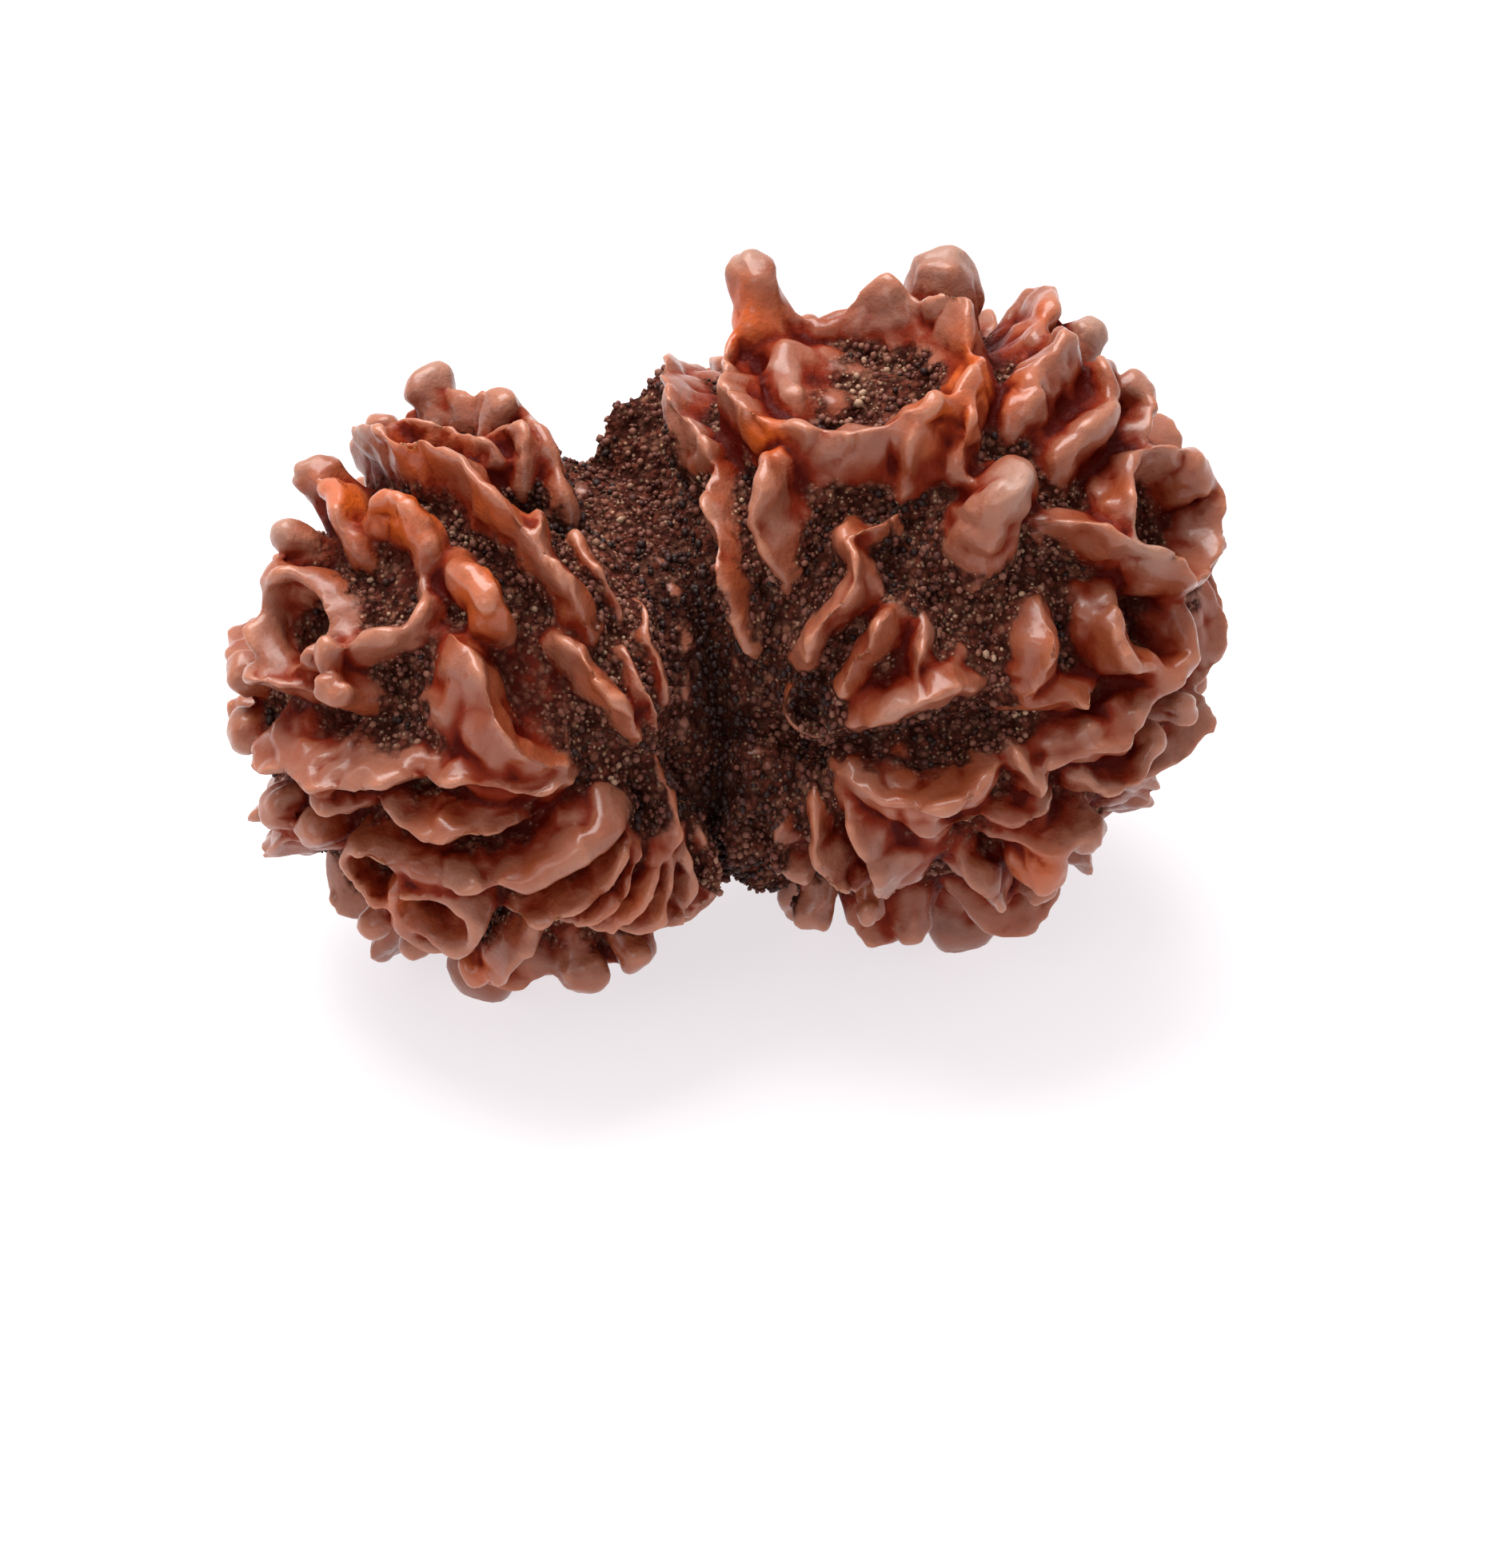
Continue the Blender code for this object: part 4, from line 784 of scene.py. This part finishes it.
def shut_in(points, outward):
    """How far the skin round each point has its middle outside it: above 0 in a gap, below 0 on a crest.

    The skin's points are counted in cubes of SHUT_CUBE, with the sum of their places, and both are blurred.
    The middle is the blurred sum over the blurred count, and its offset from the point is taken along
    outward.
    """
    index = ((points - points.min(axis=0)) / SHUT_CUBE).astype(int) + SHUT_PASSES // 2
    shape = tuple(index.max(axis=0) + SHUT_PASSES // 2 + 1)
    cell = np.ravel_multi_index(index.T, shape)
    size = math.prod(shape)
    totals = [np.bincount(cell, side, size) for side in (np.ones(len(points)), *points.T)]
    count, *middle = (blurred(total.reshape(shape)).ravel()[cell] for total in totals)
    return ((np.column_stack(middle) / count[:, None] - points) * outward).sum(axis=1)


def taken_places(stone, ridges, cups, knobs):
    """Points on the ground that the listed tubercles already stand on."""
    spots = [(polar, clock) for crest, *_ in ridges for polar, clock, _ in crest]
    spots += [(polar, clock) for rim, *_ in cups for polar, clock, _ in rim]
    spots += [root for root, *_ in knobs]
    polar, clock = np.array(spots, float).T
    return stone.place(polar, clock, np.zeros(len(spots)))


def between(ends, share):
    return ends[0] + (ends[1] - ends[0]) * share


def rule_places(stone, draw):
    """Rows of places round the pole, RULE_SPACING apart and jittered, each with what was drawn for it."""
    rows = round(math.pi * stone.radius / RULE_SPACING)
    for row in range(1, rows):
        middle = 180.0 * row / rows
        girth = 2 * math.pi * stone.radius * math.sin(math.radians(middle))
        count = max(RULE_LEAST, round(girth / RULE_SPACING))
        for k in range(count):
            polar = middle + draw.uniform(-1, 1) * RULE_JITTER[0]
            clock = 360.0 * (k + 0.5 * (row % 2)) / count + draw.uniform(-1, 1) * RULE_JITTER[1]
            kind, turn, bend = draw.random(), RULE_TURN * draw.uniform(-1, 1), RULE_BOW * draw.uniform(-1, 1)
            height, reach, wide = draw.uniform(*RULE_HEIGHTS), draw.uniform(*RULE_REACHES), draw.random()
            yield polar, clock, kind, turn, bend, height, reach, wide


def rule_tubercles(stone, other, taken, draw):
    """Tubercles for the sides that the lists don't reach, as ridges, cups and knobs like those in the lists.

    Near a pole the ridges run to it; between the poles they turn by up to RULE_TURN from the meridian. They
    get lower towards the other stone and at the edge of the listed side, where none are knobs, and they keep
    out of the notch above the seam.
    """
    ridges, cups, knobs = [], [], []
    per_mm = math.degrees(1 / stone.radius)
    for polar, clock, kind, turn, bend, height, reach, wide in rule_places(stone, draw):
        here = stone.place(polar, clock, 0.0)
        facing = stone.outward(np.float64(polar), np.float64(clock)) @ SEEN_SIDE
        apart = np.linalg.norm(here - other.centre) - other.radius
        crowded = np.linalg.norm(taken - here, axis=1).min() < RULE_CLEARANCE
        in_notch = apart < SEAM_CLEARANCE + SEAM_RISE * max(0.0, here[2] - SEAM_TOP)
        if facing > SEEN_LIMIT or crowded or in_notch:
            continue
        height *= min(1.0, LOWEST_SHARE + apart / SEAM_FADE)
        height *= RIM_LOWERING if facing > RIM_FROM else 1.0
        from_pole = min(polar, 180 - polar)
        turn *= POLE_TURN_SHARE if from_pole < POLE_ZONE else 1.0
        sideways = per_mm / max(POLE_NARROWEST, math.sin(math.radians(polar)))
        if kind < KNOB_SHARE and facing < RIM_FROM:
            tip = (polar + turn / KNOB_LEAN_PARTS[0], clock + turn / KNOB_LEAN_PARTS[1], height)
            knobs.append(((polar, clock), tip, between(KNOB_RADII, wide)))
        elif KNOB_SHARE < kind < KNOB_SHARE + CUP_SHARE and from_pole > POLE_ZONE:
            turns = [math.radians(turn + 360 * corner / CUP_CORNERS) for corner in range(CUP_CORNERS)]
            size = between(CUP_SIZES, wide)
            rim = [
                (polar - per_mm * size * math.cos(t), clock + sideways * size * math.sin(t),
                 height * (CUP_LEVEL + CUP_WAVE * math.cos(2 * t + bend)))
                for t in turns
            ]
            cups.append((rim, *CUP_WALL))
        else:
            forward = per_mm * reach * math.cos(math.radians(turn))
            across = sideways * reach * math.sin(math.radians(turn))
            bow = per_mm * bend * reach
            crest = [
                (polar + t * forward, clock + t * across + bow * (1 - t * t), height * rise)
                for t, rise in RULE_RISE
            ]
            ridges.append((crest, *(between(ends, wide) for ends in RIDGE_WIDTHS)))
    return ridges, cups, knobs


def patches(points, spots):
    """The largest of exp(-(distance / radius)^2) * amount over the spots.

    Each spot is (stone, polar, clock, height, radius, amount).
    """
    total = np.zeros(len(points))
    for stone, polar, clock, height, radius, amount in spots:
        place = stone.place(polar, clock, height)
        total = np.maximum(total, amount * np.exp(-(np.linalg.norm(points - place, axis=1) / radius) ** 2))
    return total


def bend_of(points):
    """Slow noise along each axis, plus a share of finer noise."""
    slow, fine = (
        np.column_stack([cloud(points, cell, seed) for seed in seeds])
        for cell, seeds in ((BEND_CELL, (11, 12, 13)), (BEND_FINE_CELL, (14, 15, 16)))
    )
    return slow + BEND_FINE_SHARE * fine


def folded(points, faces, outward, free):
    """The points bent, swollen into lumps and nubs, drawn into facets and creased, as far as each is free.

    A lump or nub adds its height times (PEBBLE_EDGE - the distance to its pebble). A crease runs where its
    noise crosses 0.
    """
    points = points + BEND * bend_of(points) * free[:, None]
    lumps = LUMP * (PEBBLE_EDGE - pebbles(points, LUMP_CELL, 25))
    lumps += NUB * (PEBBLE_EDGE - pebbles(points, NUB_CELL, 27))
    points = facet(points + outward * (lumps * free)[:, None], faces)
    creases = ramp(np.abs(cloud(points, CREASE_CELL, 29)), CREASE_WIDTH, 0.0)
    return points - outward * (CREASE * creases * free)[:, None]


def stirred(values, points, noise):
    """The values plus amount * cloud at the points."""
    amount, cell, seed = noise
    return values + amount * cloud(points, cell, seed)


def listed_places(points, stones):
    """Glow, dust, pale, painted shade and crust at each point."""
    left, right = stones
    pairs = (
        (LEFT_GLOW, RIGHT_GLOW),
        (LEFT_DUST, RIGHT_DUST),
        (LEFT_PALE, RIGHT_PALE),
        (LEFT_DEEP_SHADE, RIGHT_DEEP_SHADE),
        ((), RIGHT_CRUST),
    )
    return [
        patches(points, [(left, *spot) for spot in lefts] + [(right, *spot) for spot in rights])
        for lefts, rights in pairs
    ]


def grit_over(points, relief, crest, dust, crust):
    """How much of the skin is under dust: its low ground except for crests, and the crust."""
    low = ramp(stirred(relief, points, LOW_GROUND_NOISE), *LOW_GROUND)
    low *= np.clip(stirred(DUST_ANYWHERE + dust, points, DUST_NOISE), 0, 1)
    crusted = ramp(stirred(crust, points, CRUST_NOISE), *CRUST_EDGE)
    return np.maximum(low * ramp(crest, *DUSTY_CREST), crusted)


def roughness_of(points):
    """Noise plus pebbles, for the floor of the valleys."""
    pebbled = GRIT_PEBBLE_EDGE - pebbles(points, GRIT_PEBBLE_CELL, 23)
    return cloud(points, GRIT_CELL, 22) + GRIT_PEBBLE * pebbled


def weather(mesh, stones):
    """Folds the melted skin a little, roughens its valleys and marks it for the finish.

    Marks: crest is how far a point stands out of its surroundings of half a millimetre; hollow is how far it
    lies below those of some three millimetres; shut is how far it lies in a gap; glow is how clear and
    orange the husk is there; grit is how much of it is under dust; pale is how pale a tip is; and the last
    mark is painted shade, how much the dust at the bottom of the notch and of the poles is darkened.
    """
    points, edges, outward = points_of(mesh), edges_of(mesh), outwards_of(mesh)
    on_left, on_right = reliefs_over(points, stones)
    relief = np.minimum(on_left, on_right)
    notch = ramp(np.abs(on_left - on_right), *NOTCH_WIDTH) * ramp(relief, *NOTCH_HEIGHT)
    free = ramp(points[:, 2], *FREE_OF_FLOOR) * between((GROUND_SHARE, 1.0), ramp(relief, *FREE_OF_GROUND))
    points = folded(points, faces_of(mesh), outward, free)
    near = np.column_stack([spread_out(column, edges, CREST_PASSES) for column in points.T])
    crest = ((points - near) * outward).sum(axis=1)
    hollow = spread_out(relief, edges, HOLLOW_PASSES) - relief
    shut = shut_in(points, outward)
    glow, dust, pale, deep_shade, crust = listed_places(points, stones)
    grit = np.maximum(grit_over(points, relief, crest, dust, crust), notch)
    wrinkle = cloud(points * WRINKLE_STRETCH, WRINKLE_CELL, 24)
    rise = GRIT_RISE * grit * roughness_of(points) + (1 - grit) * free * WRINKLE * wrinkle
    points += outward * rise[:, None]
    points[:, 2] = np.maximum(points[:, 2], 0.0)
    mesh.vertices.foreach_set("co", (points * MM).astype(np.float32).ravel())
    mesh.update()
    for name, values in zip(MARKS, (crest, hollow, shut, glow, grit, pale, deep_shade)):
        mark(mesh, name, values)


def grown_skin(stones):
    """Everything that grows from the two stones, melted into one outer skin."""
    left, right = stones
    heap = Heap()
    draw = random.Random(RULE_SEED)
    sides = (
        (left, right, LEFT_RIDGES, LEFT_CUPS, LEFT_KNOBS, LEFT_FEET),
        (right, left, RIGHT_RIDGES, RIGHT_CUPS, RIGHT_KNOBS, RIGHT_FEET),
    )
    for stone, other, ridges, cups, knobs, feet in sides:
        taken = taken_places(stone, ridges, cups, knobs)
        more_ridges, more_cups, more_knobs = rule_tubercles(stone, other, taken, draw)
        sweep_ground(heap, stone)
        for crest, half, *spreads in list(ridges) + more_ridges:
            sweep_ridge(heap, stone, crest, half, spreads[0], spreads[-1])
        for rim, half, outer, inner in list(cups) + more_cups:
            sweep_ridge(heap, stone, rim, half, outer, inner, closed=True)
        for root, tip, radius in list(knobs) + more_knobs:
            sweep_finger(heap, stone, root, tip, radius)
        for x, y in feet:
            sweep_foot(heap, stone, x, y)
    skin = stand("bead_husk", heap.mesh("bead_husk"))
    apply_modifier(skin, "REMESH", mode="VOXEL", voxel_size=SKIN_CUBE * MM)
    apply_modifier(skin, "SMOOTH", factor=0.5, iterations=SKIN_PASSES)
    skin.data = keep_outer_skin(skin.data)
    return skin


def bead_husk(stones):
    skin = grown_skin(stones)
    weather(skin.data, stones)
    apply_modifier(skin, "TRIANGULATE")
    share = SKIN_TRIANGLES / len(skin.data.polygons)
    apply_modifier(skin, "DECIMATE", decimate_type="COLLAPSE", ratio=share)
    skin.data.shade_smooth()
    return skin


def valley_grains(husk):
    """Grains of dust in the valleys: stretched twenty-sided balls, turned at random, where grit is high.

    Each grain's size is small * (large / small)^t with t drawn evenly, and it stands out of the skin by a
    third of its size.
    """
    ball = bmesh.new()
    bmesh.ops.create_icosphere(ball, subdivisions=1, radius=1.0)
    shape = np.array([point.co[:] for point in ball.verts])
    sides = np.array([[point.index for point in face.verts] for face in ball.faces])
    ball.free()
    draw = np.random.default_rng(RULE_SEED)
    grit = numbers_of(husk, "grit")
    spots = draw.choice(np.flatnonzero(grit > GRAIN_FROM), GRAIN_COUNT, replace=False)
    small, large = GRAIN_SIZES
    size = small * (large / small) ** draw.random(GRAIN_COUNT)
    frames = np.linalg.qr(draw.normal(size=(GRAIN_COUNT, 3, 3)))[0]
    stretch = draw.uniform(*GRAIN_STRETCH, (GRAIN_COUNT, 1, 3))
    grains = (shape * stretch * size[:, None, None]) @ frames
    middle = points_of(husk)[spots] + outwards_of(husk)[spots] * size[:, None] / 3
    points = (grains + middle[:, None]).reshape(-1, 3)
    points[:, 2] = np.maximum(points[:, 2], 0.0)
    faces = (sides + len(shape) * np.arange(GRAIN_COUNT)[:, None, None]).reshape(-1, 3)
    mesh = bpy.data.meshes.new("valley_grains")
    mesh.from_pydata(points * MM, [], faces)
    patch = ramp(cloud(middle, GRAIN_PATCH, 41), -0.5, 0.5)
    tone = (1 - GRAIN_PATCH_SHARE) * draw.random(GRAIN_COUNT) + GRAIN_PATCH_SHARE * patch
    # Painted shade: grains darker at the bottom of the notch and of the poles.
    tone *= 1 - numbers_of(husk, "deep_shade")[spots]
    mark(mesh, "tone", np.repeat(tone, len(shape)))
    mesh.shade_smooth()
    return stand("valley_grains", mesh)


class Wire:
    """A socket of a finish. An operator on it adds the Math node that does it."""

    def __init__(self, sheet, socket):
        self.sheet = sheet
        self.socket = socket

    def math(self, operation, first, second):
        return self.sheet.node("ShaderNodeMath", {"operation": operation}, {0: first, 1: second})

    def __add__(self, other):
        return self.math("ADD", self, other)

    def __sub__(self, other):
        return self.math("SUBTRACT", self, other)

    def __rsub__(self, other):
        return self.math("SUBTRACT", other, self)

    def __mul__(self, other):
        return self.math("MULTIPLY", self, other)

    __radd__ = __add__
    __rmul__ = __mul__


class Sheet:
    """A material and the nodes that make its finish."""

    def __init__(self, name):
        self.material = bpy.data.materials.new(name)
        self.material.use_nodes = True
        self.tree = self.material.node_tree
        self.shader = self.tree.nodes["Principled BSDF"]

    def node(self, kind, settings=None, sockets=None, output=0):
        """Adds a node: its settings first, then a value or a wire for each named or numbered socket."""
        made = self.tree.nodes.new(kind)
        for name, value in (settings or {}).items():
            setattr(made, name, value)
        for key, value in (sockets or {}).items():
            self.feed(made.inputs[key], value)
        return Wire(self, made.outputs[output])

    def feed(self, socket, value):
        if isinstance(value, Wire):
            self.tree.links.new(value.socket, socket)
        else:
            socket.default_value = value

    def mark(self, name):
        return self.node("ShaderNodeAttribute", {"attribute_name": name}, output="Fac")

    def place(self):
        return self.node("ShaderNodeTexCoord", output="Object")

    def noise(self, size_mm, detail, distortion=0.0):
        """Noise from 0 to 1 whose lumps are about size_mm across."""
        sockets = {"Vector": self.place(), "Scale": 1 / (size_mm * MM), "Detail": detail}
        sockets.update({"Roughness": NOISE_ROUGHNESS, "Distortion": distortion})
        return self.node("ShaderNodeTexNoise", None, sockets, output="Fac")

    def grains(self, size_mm):
        """Distance from the middle of the nearest of many grains, and a number that is each grain's own."""
        settings, sockets = {"feature": "F1"}, {"Vector": self.place(), "Scale": 1 / (size_mm * MM)}
        made = self.node("ShaderNodeTexVoronoi", settings, sockets, output="Distance")
        red = self.node("ShaderNodeSeparateColor", None, {0: Wire(self, made.socket.node.outputs["Color"])})
        return made, red

    def band(self, value, low, high):
        """0 at low, 1 at high, smooth between; low may be the larger."""
        settings = {"interpolation_type": "SMOOTHSTEP"}
        return self.node("ShaderNodeMapRange", settings, {0: value, 1: low, 2: high})

    def blend(self, share, first, second):
        """The first colour where share is 0, the second where it is 1."""
        return self.node("ShaderNodeMix", {"data_type": "RGBA"}, {0: share, 6: first, 7: second}, output=2)

    def bump(self, height, strength, distance_mm, normal=None):
        sockets = {"Height": height, "Strength": strength, "Distance": distance_mm * MM}
        if normal:
            sockets["Normal"] = normal
        return self.node("ShaderNodeBump", None, sockets)

    def finish(self, **sockets):
        for name, value in sockets.items():
            self.feed(self.shader.inputs[name.replace("_", " ")], value)
        return self.material


def paint(red, green, blue):
    """A colour given in screen values from 0 to 255, as the linear values that a shader takes."""
    screen = np.array([red, green, blue]) / 255
    linear = np.where(screen <= 0.04045, screen / 12.92, ((screen + 0.055) / 1.055) ** 2.4)
    return (*linear.tolist(), 1.0)


HUSK_BROWN = paint(128, 60, 34)
HUSK_ROSE = paint(136, 82, 63)
# Painted shade in gaps, and also a random mottled red; the next colour is the darker painted shade deep in
# gaps.
HUSK_RED = paint(108, 29, 11)
HUSK_GAP_SHADE = paint(66, 8, 3)
HUSK_AMBER = paint(172, 74, 22)
# Painted highlight: the pale colour put on crests and on skin that stands out of its surroundings.
HUSK_PAINTED_HIGHLIGHT = paint(170, 112, 86)
HUSK_TIP_PALE = paint(152, 118, 104)
DUST_DARK = paint(94, 46, 35)
DUST_BROWN = paint(120, 76, 60)
DUST_TAN = paint(160, 128, 104)
# The black of dark dust, and also the painted shade at the bottom of the notch and of the poles.
BLACK_DUST_AND_SHADE = paint(34, 10, 6)


def husk_finish():
    """Waxy red-brown husk: painted highlight on crests, painted deep red shade in gaps, orange clear spots,
    and dark dust on its grit.

    Gap is how far a point lies in a gap, less twice how far it stands out.
    """
    sheet = Sheet("waxy_husk")
    crest, hollow, shut, glow, grit, pale, deep_shade = (sheet.mark(name) for name in MARKS)
    broad = sheet.noise(2.6, detail=2.0)
    fine = sheet.noise(0.5, detail=4.0)
    colour = sheet.blend(sheet.band(broad, 0.35, 0.65), HUSK_BROWN, HUSK_ROSE)
    colour = sheet.blend(sheet.band(glow + 0.3 * (fine - 0.5), 0.1, 0.8), colour, HUSK_AMBER)
    # Painted highlight: paler where the skin stands out of its surroundings, and paler on crests.
    colour = sheet.blend(sheet.band(hollow, -0.1, -0.45) * 0.45, colour, HUSK_PAINTED_HIGHLIGHT)
    colour = sheet.blend(sheet.band(crest, 0.03, 0.1) * 0.55, colour, HUSK_PAINTED_HIGHLIGHT)
    # Paler at the listed tips.
    colour = sheet.blend(sheet.band(pale + 0.3 * (fine - 0.5), 0.15, 0.75) * 0.85, colour, HUSK_TIP_PALE)
    # Painted shade: deep red where the skin lies in a gap, and darker deeper in.
    gap = shut - 2.0 * crest + 0.1 * (fine - 0.5)
    colour = sheet.blend(sheet.band(gap, -0.15, 0.08) * 0.95, colour, HUSK_RED)
    colour = sheet.blend(sheet.band(gap, 0.02, 0.24), colour, HUSK_GAP_SHADE)
    colour = sheet.blend(sheet.band(fine, 0.58, 0.74) * 0.2, colour, HUSK_RED)
    grains, pick = sheet.grains(0.3)
    small, small_pick = sheet.grains(0.16)
    dust = sheet.blend(sheet.band(pick, 0.55, 0.8), DUST_DARK, DUST_BROWN)
    dust = sheet.blend(sheet.band(fine, 0.55, 0.35) * 0.8, dust, BLACK_DUST_AND_SHADE)
    dust = sheet.blend(sheet.band(small_pick, 0.72, 0.8) * sheet.band(small, 0.5, 0.25), dust, DUST_TAN)
    dust = sheet.blend(sheet.band(grains, 0.3, 0.65) * 0.7, dust, BLACK_DUST_AND_SHADE)
    # Painted shade: dust blacker at the bottom of the notch and of the poles.
    dust = sheet.blend(deep_shade * 0.85, dust, BLACK_DUST_AND_SHADE)
    dusty = sheet.band(grit + 0.7 * (fine - 0.5), 0.12, 0.5)
    colour = sheet.blend(dusty, colour, dust)
    streaks = sheet.noise(0.28, detail=3.0, distortion=0.6)
    normal = sheet.bump(fine + 0.6 * streaks, 0.6, 0.16)
    normal = sheet.bump((1 - grains - 0.5 * small) * dusty, 1.0, 0.16, normal)
    return sheet.finish(
        Base_Color=colour,
        Roughness=0.3 + 0.45 * dusty + 0.2 * fine,
        Coat_Weight=0.75 * (1 - dusty) * sheet.band(gap, 0.04, -0.2) * (1 - 0.6 * pale),
        Coat_Roughness=0.25,
        Subsurface_Weight=0.12,
        Subsurface_Radius=(1.0, 0.35, 0.15),
        Subsurface_Scale=0.6 * MM,
        Specular_IOR_Level=0.04,
        Normal=normal,
    )


def grain_finish():
    """Dull grains from black through brown to tan."""
    sheet = Sheet("valley_dust")
    tone = sheet.mark("tone")
    colour = sheet.blend(sheet.band(tone, 0.15, 0.5), BLACK_DUST_AND_SHADE, DUST_DARK)
    colour = sheet.blend(sheet.band(tone, 0.45, 0.8), colour, DUST_BROWN)
    colour = sheet.blend(sheet.band(tone, 0.8, 0.98), colour, DUST_TAN)
    return sheet.finish(Base_Color=colour, Roughness=0.6, Specular_IOR_Level=0.3)


def pale_floor():
    """A plain pale floor under the bead."""
    mesh = bpy.data.meshes.new("floor")
    corners = [(x * FLOOR_HALF, y * FLOOR_HALF, 0) for x, y in ((-1, -1), (1, -1), (1, 1), (-1, 1))]
    mesh.from_pydata(corners, [], [(0, 1, 2, 3)])
    floor = stand("floor", mesh)
    sheet = Sheet("pale_floor")
    mesh.materials.append(sheet.finish(
        Base_Color=FLOOR_WHITE,
        Roughness=0.9,
        Specular_IOR_Level=0.1,
        Emission_Color=FLOOR_GLOW,
        Emission_Strength=FLOOR_GLOW_STRENGTH,
    ))


def soft_light(name, place, size, power, colour):
    """A square area light at place, turned to LIGHT_AIM."""
    lamp = bpy.data.lights.new(name, "AREA")
    lamp.size, lamp.energy, lamp.color = size, power, colour
    light = stand(name, lamp)
    light.location = place
    light.rotation_euler = (Vector(place) - Vector(LIGHT_AIM)).to_track_quat("Z", "Y").to_euler()


def studio_lights():
    """One broad light above and a little behind, a weaker one from the front left, and a white room."""
    world = bpy.data.worlds.new("white_room")
    world.use_nodes = True
    world.node_tree.nodes["Background"].inputs["Color"].default_value = ROOM_WHITE
    world.node_tree.nodes["Background"].inputs["Strength"].default_value = ROOM_STRENGTH
    scene = bpy.context.scene
    scene.world = world
    scene.view_settings.view_transform = "Standard"
    soft_light("overhead", OVERHEAD_PLACE, OVERHEAD_SIZE, OVERHEAD_POWER, OVERHEAD_COLOUR)
    soft_light("front_left", FRONT_PLACE, FRONT_SIZE, FRONT_POWER, FRONT_COLOUR)


def add_camera():
    """Stands CAMERA_DISTANCE from the aim, turned CAMERA_TURN about the vertical and CAMERA_LIFT up."""
    turn, lift = math.radians(CAMERA_TURN), math.radians(CAMERA_LIFT)
    back = Vector((math.sin(turn) * math.cos(lift), -math.cos(turn) * math.cos(lift), math.sin(lift)))
    lens = bpy.data.cameras.new("camera")
    lens.lens, lens.sensor_width = CAMERA_LENS, SENSOR_WIDTH
    camera = stand("camera", lens)
    camera.location = (Vector(CAMERA_AIM) + CAMERA_DISTANCE * back) * MM
    camera.rotation_euler = back.to_track_quat("Z", "Y").to_euler()
    bpy.context.scene.camera = camera


def main():
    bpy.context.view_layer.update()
    left = Stone(LEFT_CENTRE, LEFT_RADIUS, LEFT_AXIS, LEFT_SEAMS, LEFT_SPREAD, LEFT_DENT)
    right = Stone(RIGHT_CENTRE, RIGHT_RADIUS, RIGHT_AXIS, RIGHT_SEAMS, RIGHT_SPREAD)
    husk = bead_husk((left, right))
    husk.data.materials.append(husk_finish())
    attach(husk, "root")
    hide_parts(NODE)
    grains = valley_grains(husk.data)
    grains.data.materials.append(grain_finish())
    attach(grains, "root")
    pale_floor()
    studio_lights()
    add_camera()


main()
